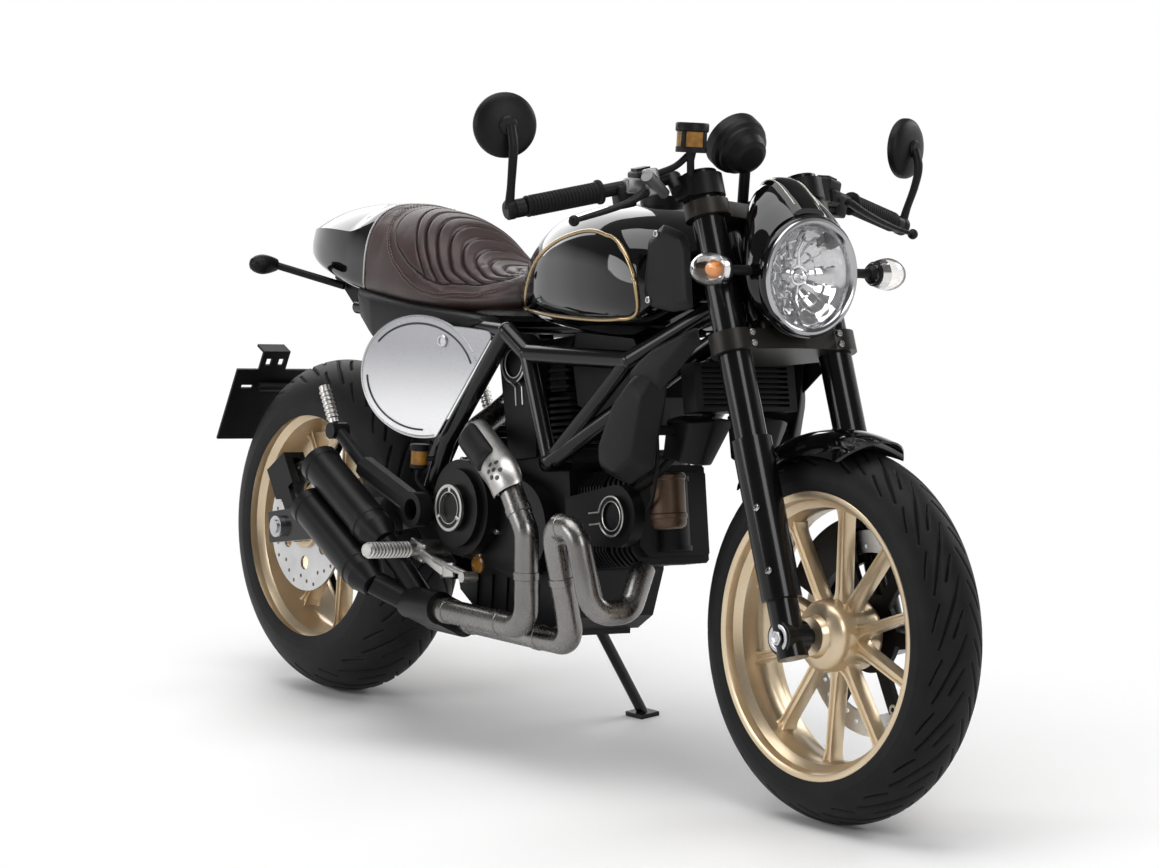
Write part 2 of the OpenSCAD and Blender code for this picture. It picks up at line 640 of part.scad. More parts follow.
module yoke(z, h, out, middle) {
  translate([0, 0, z]) linear_extrude(h) difference() {
    union() {
      for (s = [-1, 1]) translate([0, s * leg_y]) circle(r = fork_tube / 2 + 10);
      polygon([[-36, -leg_y], [-60, -36], [-60, 36], [-36, leg_y], [out, leg_y], [middle, 20], [middle, -20],
        [out, -leg_y]]);
    }
    for (s = [-1, 1]) translate([0, s * leg_y]) circle(r = fork_tube / 2 + fit);
  }
}
module triple_clamps() color("dimgray") on_fork() {
  yoke(464, 34, 30, 34);
  yoke(692, 26, 24, 6);
  translate([-steer_offset, 0, 465]) cylinder(h = 250, r = 18);
  translate([-steer_offset, 0, 717.9]) cylinder(h = 10, r = 22, $fn = 6);
  translate([24, 0, 497]) cylinder(h = 23, r = 8);
  // Bearings in the steering head
  for (z = [530, 671]) translate([-steer_offset, 0, z]) cylinder(h = 14, r = 24 - gap);
}

bar_in = head + [-48, 140, 51];
bar_out = head + [-108, 392, -8];
bar_end_y = 390;
bar_plug = 16;
bar_dir = unit(bar_out - bar_in);
module on_bar(y) { p = bar_in + bar_dir * ((y - bar_in[1]) / bar_dir[1]);
  translate(p) rotate([0, acos(bar_dir[2]), atan2(bar_dir[1], bar_dir[0])]) children(); }
module handlebars() color("dimgray") both_sides() {
  on_fork() translate([0, leg_y, 726]) difference() {
    union() {
      cylinder(h = 36, r = fork_tube / 2 + 8);
      translate([-20, 20, 0]) cube([36, 24, 36]);
    }
    translate([0, 0, -1]) cylinder(h = 60, r = fork_tube / 2 + gap);
  }
  rod(head + [-18, 150, 29], bar_in, 13);
  rod(bar_in, bar_out, 11);
  on_bar(bar_end_y) cylinder(h = bar_plug, r = 15);
  // Switch housing
  on_bar(176) cylinder(h = 32, r = 19);
  on_bar(180) translate([-26, -12, 0]) cube([30, 24, 24]);
}

module grips() color("black") both_sides() on_bar(262) difference() {
  cylinder(h = 132, r = 17);
  translate([0, 0, -1]) cylinder(h = 140, r = 11 + fit);
}

module levers() color("black") both_sides() {
  on_bar(212) difference() {
    union() {
      cylinder(h = 40, r = 20);
      translate([-14, -40, 0]) cube([28, 40, 26]);
    }
    translate([0, 0, -1]) cylinder(h = 70, r = 11 + fit);
  }
  rod(head + [-24, 218, 25], head + [-44, 300, 3], 8);
  rod(head + [-44, 300, 3], head + [-52, 396, -15], 6);
  translate(head + [-52, 396, -15]) sphere(r = 9);
}

module mirrors() color("black") both_sides() {
  on_bar(bar_end_y + (bar_plug + gap) * bar_dir[1]) cylinder(h = 12, r = 12);
  rod(head + [-112, 415, -9], head + [-97, 424, 68], 6);
  rod(head + [-97, 424, 68], head + [-104, 428, 122], 6);
  translate(head + [-97, 424, 68]) sphere(r = 6.2);
  translate(head + [-120, 424, 120]) rotate([0, 90, 18]) {
    r = mirror_diameter / 2;
    rotate_extrude() polygon([[0, -10], [r, -10], [r, 0], [r - 4, 3], [r - 14, 7], [r - 26, 10], [0, 11]]);
  }
}

module brake_reservoir() color("gold") {
  translate(head + [-5, -140, 92]) {
    cylinder(h = 36, r = 25);
    translate([0, 0, 35.9]) cylinder(h = 12, r = 27);
    translate([0, 0, -40]) cylinder(h = 41, r = 6);
  }
}

module gauge() color("dimgray") {
  translate(head + [-13, -42, 111]) rotate([0, -60, 0]) {
    rotate_extrude() polygon([[0, -48], [22, -48], [30, -44], [36, -30], [43, -24], [43, -18], [48, -14], [50, -6],
      [50, 12], [47, 14], [44, 14], [43, 10], [0, 10]]);
  }
  rod(head + [-15, -20, 7], head + [12, -40, 92], 9);
}

// Headlight
lamp_rows = [for (r = [[62, 60, -149, 3, -83, 0.4], [78, 74, -161, 45, -87, 0.32], [94, 96, -169, 53, -90, 0.2],
  [112, 106, -177, 30, -94, 0.08], [132, 99, -194, 4, -95, 0]])
  [head[0] + r[0], r[1], head[2] + r[2], head[2] + r[3], head[2] + r[4], r[5]]];
module headlight_shell() color("black") body(lamp_rows, 2.2, 2.2, 12, 36);
module headlight() color("silver") translate(head + [132.3, 0, -95]) rotate([0, 90, 0]) {
  r = headlight_diameter / 2;
  rotate_extrude() polygon([[0, 0], [r, 0], [r, 12], [r - 10, 16], [r - 14, 10], [60, 22], [30, 27], [0, 28]]);
}

module front_indicators() color("orange") both_sides() {
  rod(head + [112, 106.6, -89], head + [115, 152, -89], 8);
  translate(head + [115, 150, -89]) rotate([-90, 0, 0]) egg(60, 23);
}

module front_fender() color("black") {
  intersection() {
    on_front_axle() rotate([0, 0, -132]) rotate_extrude(angle = 58) intersection() {
      difference() {
        translate([front_radius - 55, 0]) circle(r = 81);
        translate([front_radius - 55, 0]) circle(r = 78);
      }
      translate([front_radius - 16, -90]) square([60, 180]);
    }
    // Nose rounded off in plan
    translate([front_x, 0, front_radius]) linear_extrude(front_radius + 100) {
      translate([-400, -100]) square([400.1, 200]);
      polygon([for (a = [-90 : 10 : 90]) [84 * cos(a), 84 * sin(a)]]);
    }
  }
  both_sides() on_fork() translate([0, 64, front_radius - 8]) rotate([-90, 0, 0]) cylinder(h = 13.7, r = 9);
}

module front_caliper() color("dimgray") on_front_axle() rotate([0, 0, -160]) difference() {
  ro = front_disc_diameter / 2;
  rotate_extrude(angle = 52) translate([ro - 49, 46]) square([72, 38.2]);
  rotate_extrude(angle = 360) translate([ro - 65, 61]) square([72, 15]);
}

// Wheels
module tyre(radius, width, section) {
  rotate_extrude($fn = 96) intersection() {
    translate([radius - width / 2, 0]) circle(r = width / 2);
    translate([radius - section, -width]) square([radius, 2 * width]);
  }
}
function polar(r, a) = [r * cos(a), r * sin(a)];
function across(a) = [-sin(a), cos(a)];
// Straight spoke from the hub lug at angle h to the rim at angle e, with its two half widths
module spoke(hub_r, rim_r, h, e, w0, w1) {
  a = polar(hub_r, h);
  b = polar(rim_r, e);
  n = across(atan2(b[1] - a[1], b[0] - a[0]));
  polygon([a - n * w0, b - n * w1, b + n * w1, a + n * w0]);
}
module rim(outer, half, hub_half, hub_r, spoke_half) {
  pairs = spokes / 2;
  turn = 90 / pairs;
  difference() {
    union() {
      rotate_extrude($fn = 96) polygon([[outer - 0.1, -half], [outer - 0.1, half], [outer - 15, half], [outer - 16, half - 7],
        [outer - 25, half - 22], [outer - 25, 22 - half], [outer - 16, 7 - half], [outer - 15, -half]]);
      translate([0, 0, -hub_half]) cylinder(h = 2 * hub_half, r = hub_r);
      for (i = [0 : pairs - 1]) for (s = [-1, 1]) {
        translate([0, 0, -spoke_half]) linear_extrude(2 * spoke_half)
          spoke(hub_r - 6, outer - 20, i * 360 / pairs + s * turn * 0.66, i * 360 / pairs + s * turn, 10, 8);
        translate([0, 0, -spoke_half - 7]) linear_extrude(2 * spoke_half + 14)
          spoke(hub_r - 6, outer - 22, i * 360 / pairs + s * turn * 0.66, i * 360 / pairs + s * turn, 4.5, 3.5);
      }
    }
    translate([0, 0, -200]) cylinder(h = 400, r = 12.5 + fit);
  }
}
module front_tyre() color("black") on_front_axle() tyre(front_radius, front_width, front_section);
module front_rim() color("gold") on_front_axle() rim(front_radius - front_section, 57, 62, 47, 15);
module front_disc() color("silver") on_front_axle() {
  ro = front_disc_diameter / 2;
  translate([0, 0, 66]) linear_extrude(5) difference() {
    circle(r = ro);
    circle(r = ro - 36);
    for (i = [0 : 35]) rotate([0, 0, i * 10]) translate([ro - 10 - 8 * (i % 3), 0]) circle(r = 4, $fn = 16);
  }
  translate([0, 0, 62]) linear_extrude(9) difference() {
    union() {
      circle(r = 62);
      for (i = [0 : 5]) rotate([0, 0, i * 60]) translate([0, -11]) square([ro - 32, 22]);
    }
    circle(r = 24);
  }
}
module rear_tyre() color("black") on_rear_axle() tyre(rear_radius, rear_width, rear_section);
module rear_rim() color("gold") on_rear_axle() {
  rim(rear_radius - rear_section, 82, 100, 42, 18);
}
module rear_disc() color("silver") on_rear_axle() {
  ro = rear_disc_diameter / 2;
  translate([0, 0, -92]) linear_extrude(5) difference() {
    circle(r = ro);
    circle(r = 42 + fit);
    for (i = [0 : 29]) rotate([0, 0, i * 12]) translate([ro - 10 - 8 * (i % 3), 0]) circle(r = 3.5, $fn = 16);
    for (i = [0 : 5]) rotate([0, 0, i * 60 + 30]) translate([70, 0]) circle(r = 13);
  }
}
module rear_sprocket() color("dimgray") on_rear_axle() {
  teeth = 42;
  tip = rear_pitch_r - 6;
  translate([0, 0, 98]) linear_extrude(8) difference() {
    polygon([for (i = [0 : 4 * teeth - 1]) polar(i % 4 < 2 ? tip : tip - 7, i * 90 / teeth)]);
    circle(r = 42 + fit);
    for (i = [0 : 5]) rotate([0, 0, i * 60]) translate([76, 0]) circle(r = 17);
  }
}

// Side stand
module side_stand() color("black") {
  ground_z = foot[1] * tan(lean) - lift / cos(lean);
  translate([foot[0], foot[1], ground_z]) rotate([lean, 0, 0]) {
    translate([-24, -20, 0]) cube([48, 40, 8]);
  }
  rod(stand_pivot + [0, 6, -10], [foot[0], foot[1], ground_z + 6], 10);
  rod(stand_pivot - stand_axis * 15, stand_pivot + stand_axis * 15, 16);
}

parked() main_frame();
parked() swingarm();
parked() rear_axle();
parked() rear_shock();
parked() chain();
parked() fuel_tank();
parked() tank_panels();
parked() fuel_cap();
parked() seat();
parked() tail_cowl();
parked() undertail();
parked() tail_light();
parked() rear_indicators();
parked() number_boards();
parked() side_shrouds();
parked() oil_cooler();
parked() airbox();
parked() crankcase();
parked() clutch_cover();
parked() alternator_cover();
parked() front_cylinder();
parked() rear_cylinder();
parked() belt_covers();
parked() exhaust_headers();
parked() heat_shield();
parked() silencers();
parked() peg_hangers();
parked() foot_controls();
parked() plate_bracket();
parked() rear_caliper();
parked() fork_tubes();
parked() fork_legs();
parked() triple_clamps();
parked() handlebars();
parked() grips();
parked() levers();
parked() mirrors();
parked() brake_reservoir();
parked() gauge();
parked() headlight_shell();
parked() headlight();
parked() front_indicators();
parked() front_fender();
parked() front_caliper();
parked() front_tyre();
parked() front_rim();
parked() front_disc();
parked() rear_tyre();
parked() rear_rim();
parked() rear_disc();
parked() rear_sprocket();
parked() side_stand();
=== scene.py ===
"""Cafe racer motorcycle parked on its side stand: surfaces, soft parts, finishes and studio."""
import math
import bpy
import bmesh
import numpy as np
from mathutils import Matrix, Vector
from mathutils.bvhtree import BVHTree


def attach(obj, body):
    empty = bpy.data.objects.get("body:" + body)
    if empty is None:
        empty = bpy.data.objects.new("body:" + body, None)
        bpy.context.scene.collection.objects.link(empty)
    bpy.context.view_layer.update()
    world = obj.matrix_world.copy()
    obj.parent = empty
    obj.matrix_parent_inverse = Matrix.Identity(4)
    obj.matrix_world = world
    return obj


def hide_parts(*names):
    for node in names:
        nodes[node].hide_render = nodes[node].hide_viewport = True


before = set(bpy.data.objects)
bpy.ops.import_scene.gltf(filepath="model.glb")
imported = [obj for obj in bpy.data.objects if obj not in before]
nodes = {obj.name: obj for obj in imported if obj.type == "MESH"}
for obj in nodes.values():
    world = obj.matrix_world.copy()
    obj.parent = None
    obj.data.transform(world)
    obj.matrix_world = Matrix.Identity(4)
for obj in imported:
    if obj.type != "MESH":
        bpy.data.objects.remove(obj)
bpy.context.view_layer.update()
scene = bpy.context.scene

# Shared placing: the bike is described upright in millimetres, then leaned onto its stand
LEAN = 8.0
PARK = Matrix.Translation((0.0206, -0.1496, 0.000876)) @ Matrix.Rotation(math.radians(-LEAN), 4, "X")
FRONT = (718.0, 300.0)
REAR = (-718.0, 315.0)
RAKE = 21.8
CRANK = (15.0, 397.0)


def parked(points):
    return moved(np.asarray(points, float) * 0.001, PARK)


def turn(a, b, c):
    rx, ry, rz = (Matrix.Rotation(math.radians(v), 4, axis) for v, axis in zip((a, b, c), "XYZ"))
    return rz @ ry @ rx


def shift(x, y, z):
    return Matrix.Translation((x, y, z))


def to_left(x, y, z):
    """Place whose height axis points to the rider's left."""
    return shift(x, y, z) @ turn(-90, 0, 0)


def to_right(x, y, z):
    return shift(x, y, z) @ turn(90, 0, 0)


def moved(points, m):
    co = np.asarray(points, float).reshape(-1, 3)
    a = np.array(m)
    return co @ a[:3, :3].T + a[:3, 3]


def mirrored(points):
    return np.asarray(points, float).reshape(-1, 3) * np.array([1, -1, 1])


def degrees(first, last, count, endpoint=True):
    return np.radians(np.linspace(first, last, count, endpoint=endpoint))


ON_FORK = shift(FRONT[0], 0, FRONT[1]) @ turn(0, -RAKE, 0)
ON_FRONT_AXLE = to_left(FRONT[0], 0, FRONT[1])
ON_REAR_AXLE = to_left(REAR[0], 0, REAR[1])
ON_FRONT_CYLINDER = shift(CRANK[0], 0, CRANK[1]) @ turn(0, 80, 0)
ON_REAR_CYLINDER = shift(CRANK[0], 0, CRANK[1]) @ turn(0, -10, 0)


# Mesh building: a shape is a pair of points and faces
def grid_faces(nu, nv, wrap_u=False, wrap_v=True, start=0):
    faces = []
    for i in range(nu if wrap_u else nu - 1):
        for j in range(nv if wrap_v else nv - 1):
            i2 = (i + 1) % nu
            j2 = (j + 1) % nv
            faces.append((start + i * nv + j, start + i2 * nv + j, start + i2 * nv + j2, start + i * nv + j2))
    return faces


def cap_faces(nu, nv, last=True):
    faces = [tuple(range(nv))]
    if last:
        faces.append(tuple(range((nu - 1) * nv, nu * nv)))
    return faces


def capped(rings):
    """Rings of points skinned one to the next, with both ends closed."""
    p = np.asarray(rings, float)
    nu, nv = p.shape[:2]
    return p.reshape(-1, 3), grid_faces(nu, nv) + cap_faces(nu, nv)


class Parts:
    """Several closed shells gathered into one mesh."""

    def __init__(self, *shapes):
        self.points = []
        self.faces = []
        self.count = 0
        for shape in shapes:
            self.add(shape)

    def add(self, shape):
        co = np.asarray(shape[0], float).reshape(-1, 3)
        self.points.append(co)
        self.faces += [tuple(i + self.count for i in f) for f in shape[1]]
        self.count += len(co)
        return self

    def both(self, shape):
        """The shape and its mirror image on the other side."""
        return self.add(shape).add((mirrored(shape[0]), shape[1]))


def put(name, parts, body, slot, look=None, node=None, sharp=38):
    """One visible piece that rides on a body. A node is the solid that it stands for."""
    me = bpy.data.meshes.new(name)
    me.from_pydata(parked(np.vstack(parts.points)).tolist(), [], parts.faces)
    bm = bmesh.new()
    bm.from_mesh(me)
    bmesh.ops.recalc_face_normals(bm, faces=bm.faces)
    bm.to_mesh(me)
    bm.free()
    me.shade_smooth()
    me.set_sharp_from_angle(angle=math.radians(sharp))
    me.materials.append(look or LOOK[slot])
    ob = bpy.data.objects.new(name, me)
    scene.collection.objects.link(ob)
    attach(ob, body)
    if node:
        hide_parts(node)
    return ob


# Smooth tables: the same cubic through rows that the solids use
def along(rows, xs):
    t = np.asarray(rows, float)
    xs = np.asarray(xs, float)
    slope = np.empty_like(t)
    slope[0] = (t[1] - t[0]) / (t[1, 0] - t[0, 0])
    slope[-1] = (t[-1] - t[-2]) / (t[-1, 0] - t[-2, 0])
    slope[1:-1] = (t[2:] - t[:-2]) / (t[2:, :1] - t[:-2, :1])
    i = np.clip(np.searchsorted(t[:, 0], xs, side="left") - 1, 0, len(t) - 2)
    h = (t[i + 1, 0] - t[i, 0])[:, None]
    u = (xs - t[i, 0])[:, None] / h
    return (t[i] * (1 + 2 * u) * (1 - u) ** 2 + h * slope[i] * u * (1 - u) ** 2
            + t[i + 1] * u * u * (3 - 2 * u) + h * slope[i + 1] * u * u * (u - 1))


def spow(v, p):
    return np.sign(v) * np.abs(v) ** p


def loft(rows, n_up, n_low, xs, m):
    """Rounded sections from rows of x, half width, bottom, top, widest height and rake."""
    c = along(rows, xs)
    a = np.linspace(0, 2 * math.pi, m, endpoint=False)
    up = np.sin(a) >= 0
    n = np.where(up, n_up, n_low)
    w, zb, zt, zc, k = (c[:, i][:, None] for i in range(1, 6))
    z = zc + np.where(up, zt - zc, zc - zb) * spow(np.sin(a), 2 / n)
    y = w * spow(np.cos(a), 2 / n)
    x = np.asarray(xs)[:, None] - k * (z - RAKE_FROM) + 0 * y
    return np.stack([x, y, z], -1)


RAKE_FROM = 850.0


def normals(p):
    du = np.gradient(p, axis=0)
    dv = (np.roll(p, -1, 1) - np.roll(p, 1, 1)) / 2
    n = np.cross(du, dv)
    n /= np.linalg.norm(n, axis=-1, keepdims=True) + 1e-12
    return n * np.sign(np.sum(n * (p - p.mean(1, keepdims=True))))


# Routes with round bends, and round tubes along them
def unit(v):
    v = np.asarray(v, float)
    return v / np.linalg.norm(v)


def rounded(points, bend, steps=18):
    pts = [np.asarray(p, float) for p in points]
    out = [pts[0]]
    for i in range(1, len(pts) - 1):
        d1 = unit(pts[i] - pts[i - 1])
        d2 = unit(pts[i + 1] - pts[i])
        angle = math.acos(float(np.clip(d1 @ d2, -1, 1)))
        inward = unit(d2 - d1 * (d1 @ d2))
        centre = pts[i] - d1 * bend * math.tan(angle / 2) + inward * bend
        for k in range(steps + 1):
            t = angle * k / steps
            out.append(centre - inward * bend * math.cos(t) + d1 * bend * math.sin(t))
    out.append(pts[-1])
    return np.array(out)


def sweep(path, radius, m=12, closed=False, flat=1.0):
    w = np.asarray(path, float)
    n = len(w)
    r = np.broadcast_to(np.asarray(radius, float), (n,))
    ahead = np.roll(w, -1, 0) - w
    back = w - np.roll(w, 1, 0)
    if not closed:
        ahead[-1] = back[-1]
        back[0] = ahead[0]
    t = np.array([unit(unit(a) + unit(b)) for a, b in zip(ahead, back)])
    u = np.array([0, 0, 1.0]) if abs(t[0][2]) < 0.9 else np.array([1.0, 0, 0])
    rings = []
    angles = np.linspace(0, 2 * math.pi, m, endpoint=False)[:, None]
    for i in range(n):
        u = unit(u - t[i] * (u @ t[i]))
        v = np.cross(t[i], u)
        rings.append(w[i] + r[i] * (np.cos(angles) * u * flat + np.sin(angles) * v))
    return (np.vstack(rings), grid_faces(n, m, wrap_u=True)) if closed else capped(rings)


def spline(points, count, closed=False):
    p = np.asarray(points, float)
    if closed:
        p = np.vstack([p[-1:], p, p[:2]])
    else:
        p = np.vstack([2 * p[0] - p[1], p, 2 * p[-1] - p[-2]])
    n = len(p) - 3
    out = []
    for s in np.linspace(0, n, count, endpoint=not closed):
        i = min(int(s), n - 1)
        u = s - i
        a, b, c, d = p[i:i + 4]
        out.append(0.5 * (2 * b + (c - a) * u + (2 * a - 5 * b + 4 * c - d) * u * u
                          + (3 * b - a - 3 * c + d) * u ** 3))
    return np.array(out)


def tapered(points, count, at, radii, m=16, flat=0.62):
    """Flattened tube along a smooth curve, its radius given at shares of the length."""
    return sweep(spline(points, count), np.interp(np.linspace(0, 1, count), at, radii), m, flat=flat)


def revolve(profile, n=48, m=None):
    """Closed profile of (radius, height) turned about Z."""
    pr = np.asarray(profile, float)
    a = np.linspace(0, 2 * math.pi, n, endpoint=False)[:, None]
    p = np.stack([pr[:, 0] * np.cos(a), pr[:, 0] * np.sin(a), np.broadcast_to(pr[:, 1], (n, len(pr)))], -1)
    return moved(p, m if m is not None else Matrix()), grid_faces(n, len(pr), wrap_u=True)


AXIS = 0.01


def knob(profile, n, m):
    """Solid of revolution: an outline whose two ends are joined to the axis."""
    return revolve([(AXIS, profile[0][1])] + profile + [(AXIS, profile[-1][1])], n, m)


def bolt(m, r, h):
    """Socket head screw seen from above, standing on the plane of the matrix."""
    profile = [(AXIS, -0.5), (r, -0.5), (r, h * 0.8), (r * 0.85, h), (r * 0.55, h), (r * 0.5, h * 0.45)]
    return revolve(profile + [(AXIS, h * 0.4)], 14, m)


def facing(point, direction):
    q = Vector(direction).to_track_quat("Z", "Y")
    return Matrix.Translation(point) @ q.to_matrix().to_4x4()


def moulded(points, offset, segments, m=None):
    """Convex shell through the points with rounded edges."""
    bm = bmesh.new()
    for p in points:
        bm.verts.new(p)
    bmesh.ops.convex_hull(bm, input=bm.verts)
    bmesh.ops.delete(bm, geom=[v for v in bm.verts if not v.link_faces], context="VERTS")
    bmesh.ops.dissolve_limit(bm, angle_limit=math.radians(3), verts=bm.verts, edges=bm.edges)
    bmesh.ops.bevel(bm, geom=bm.edges, offset=offset, segments=segments, profile=0.5, affect="EDGES",
                    clamp_overlap=True)
    bm.verts.index_update()
    co = np.array([tuple(v.co) for v in bm.verts])
    faces = [tuple(v.index for v in f.verts) for f in bm.faces]
    bm.free()
    return (moved(co, m) if m is not None else co), faces


def slab(near, y_near, far, y_far):
    return [(x, y_near, z) for x, z in near] + [(x, y_far, z) for x, z in far]


def brick(x, y, z, offset, segments, m):
    corners = [(a * x / 2, b * y / 2, c * z / 2) for a in (-1, 1) for b in (-1, 1) for c in (-1, 1)]
    return moulded(corners, offset, segments, m)


# Materials
def new_material(name):
    mat = bpy.data.materials.new(name)
    mat.use_nodes = True
    tree = mat.node_tree
    return mat, tree, tree.nodes["Principled BSDF"]


def fill(shader, **values):
    """Set inputs by name, with underscores for blanks."""
    for key, value in values.items():
        shader.inputs[key.replace("_", " ")].default_value = value
    return shader


def new_node(tree, kind, **values):
    return fill(tree.nodes.new("ShaderNode" + kind), **values)


def place(tree, stretch=None):
    where = new_node(tree, "TexCoord").outputs["Object"]
    if stretch:
        mapping = new_node(tree, "Mapping", Scale=stretch)
        tree.links.new(where, mapping.inputs["Vector"])
        where = mapping.outputs["Vector"]
    return where


def noise(tree, scale, detail, stretch=None):
    tex = new_node(tree, "TexNoise", Scale=scale, Detail=detail)
    tree.links.new(place(tree, stretch), tex.inputs["Vector"])
    return tex.outputs["Fac"]


def spread(tree, source, low, high):
    ranged = new_node(tree, "MapRange", From_Min=0.3, From_Max=0.7, To_Min=low, To_Max=high)
    tree.links.new(source, ranged.inputs["Value"])
    return ranged.outputs["Result"]


def fade_in(tree, source, low, high):
    ranged = new_node(tree, "MapRange", From_Min=low, From_Max=high)
    ranged.interpolation_type = "SMOOTHSTEP"
    tree.links.new(source, ranged.inputs["Value"])
    return ranged.outputs["Result"]


def tint(tree, bsdf, factor, one, other):
    mix = tree.nodes.new("ShaderNodeMix")
    mix.data_type = "RGBA"
    fill(mix, A=(*one, 1), B=(*other, 1))
    tree.links.new(factor, mix.inputs["Factor"])
    tree.links.new(mix.outputs["Result"], bsdf.inputs["Base Color"])


def relief(tree, bsdf, height, strength, distance):
    bump = new_node(tree, "Bump", Strength=strength, Distance=distance)
    tree.links.new(height, bump.inputs["Height"])
    tree.links.new(bump.outputs["Normal"], bsdf.inputs["Normal"])


def finish(name, dark, light, rough, metal=0.0, coat=0.0, grain=900.0, bump=0.0, patch=14.0, stretch=None,
           specular=0.5):
    """Surface whose colour drifts between two tones, with uneven roughness and a fine grain."""
    mat, tree, bsdf = new_material(name + "_look")
    fill(bsdf, Metallic=metal, Coat_Weight=coat, Coat_Roughness=0.04, Specular_IOR_Level=specular)
    tint(tree, bsdf, spread(tree, noise(tree, patch, 5.0), 0.0, 1.0), dark, light)
    fine = noise(tree, grain, 3.0, stretch)
    tree.links.new(spread(tree, fine, *rough), bsdf.inputs["Roughness"])
    if bump:
        relief(tree, bsdf, fine, 0.6, bump)
    return mat


def glass(name, colour, rough):
    mat, tree, bsdf = new_material(name + "_look")
    fill(bsdf, Transmission_Weight=1.0, IOR=1.45, Base_Color=(*colour, 1))
    tree.links.new(spread(tree, noise(tree, 300.0, 2.0), rough * 0.5, rough * 1.5), bsdf.inputs["Roughness"])
    return mat


def leather():
    mat, tree, bsdf = new_material("seat_leather_look")
    fill(bsdf, Specular_IOR_Level=0.45)
    cells = new_node(tree, "TexVoronoi", Scale=620.0)
    cells.feature = "DISTANCE_TO_EDGE"
    tree.links.new(place(tree), cells.inputs["Vector"])
    cloudy = spread(tree, noise(tree, 16.0, 6.0), 0.0, 1.0)
    tint(tree, bsdf, cloudy, (0.0175, 0.0082, 0.0074), (0.0390, 0.0185, 0.0165))
    tree.links.new(spread(tree, noise(tree, 1400.0, 3.0), 0.36, 0.52), bsdf.inputs["Roughness"])
    relief(tree, bsdf, cells.outputs["Distance"], 0.35, 0.0005)
    return mat


def board_metal_painted_shading():
    """Brushed plate with painted shading, darker towards its upper edge and a painted reflection bright below."""
    mat, tree, bsdf = new_material("board_silver_look")
    fill(bsdf, Metallic=0.8)
    split = new_node(tree, "SeparateXYZ")
    tree.links.new(place(tree), split.inputs["Vector"])
    # Painted reflection and shade: pale low on the plate, dark grey towards its top edge, set by height
    tint(tree, bsdf, fade_in(tree, split.outputs["Z"], 0.57, 0.72), (0.78, 0.78, 0.79), (0.33, 0.33, 0.35))
    tree.links.new(spread(tree, noise(tree, 1200.0, 3.0, (0.06, 1, 1)), 0.26, 0.4), bsdf.inputs["Roughness"])
    return mat


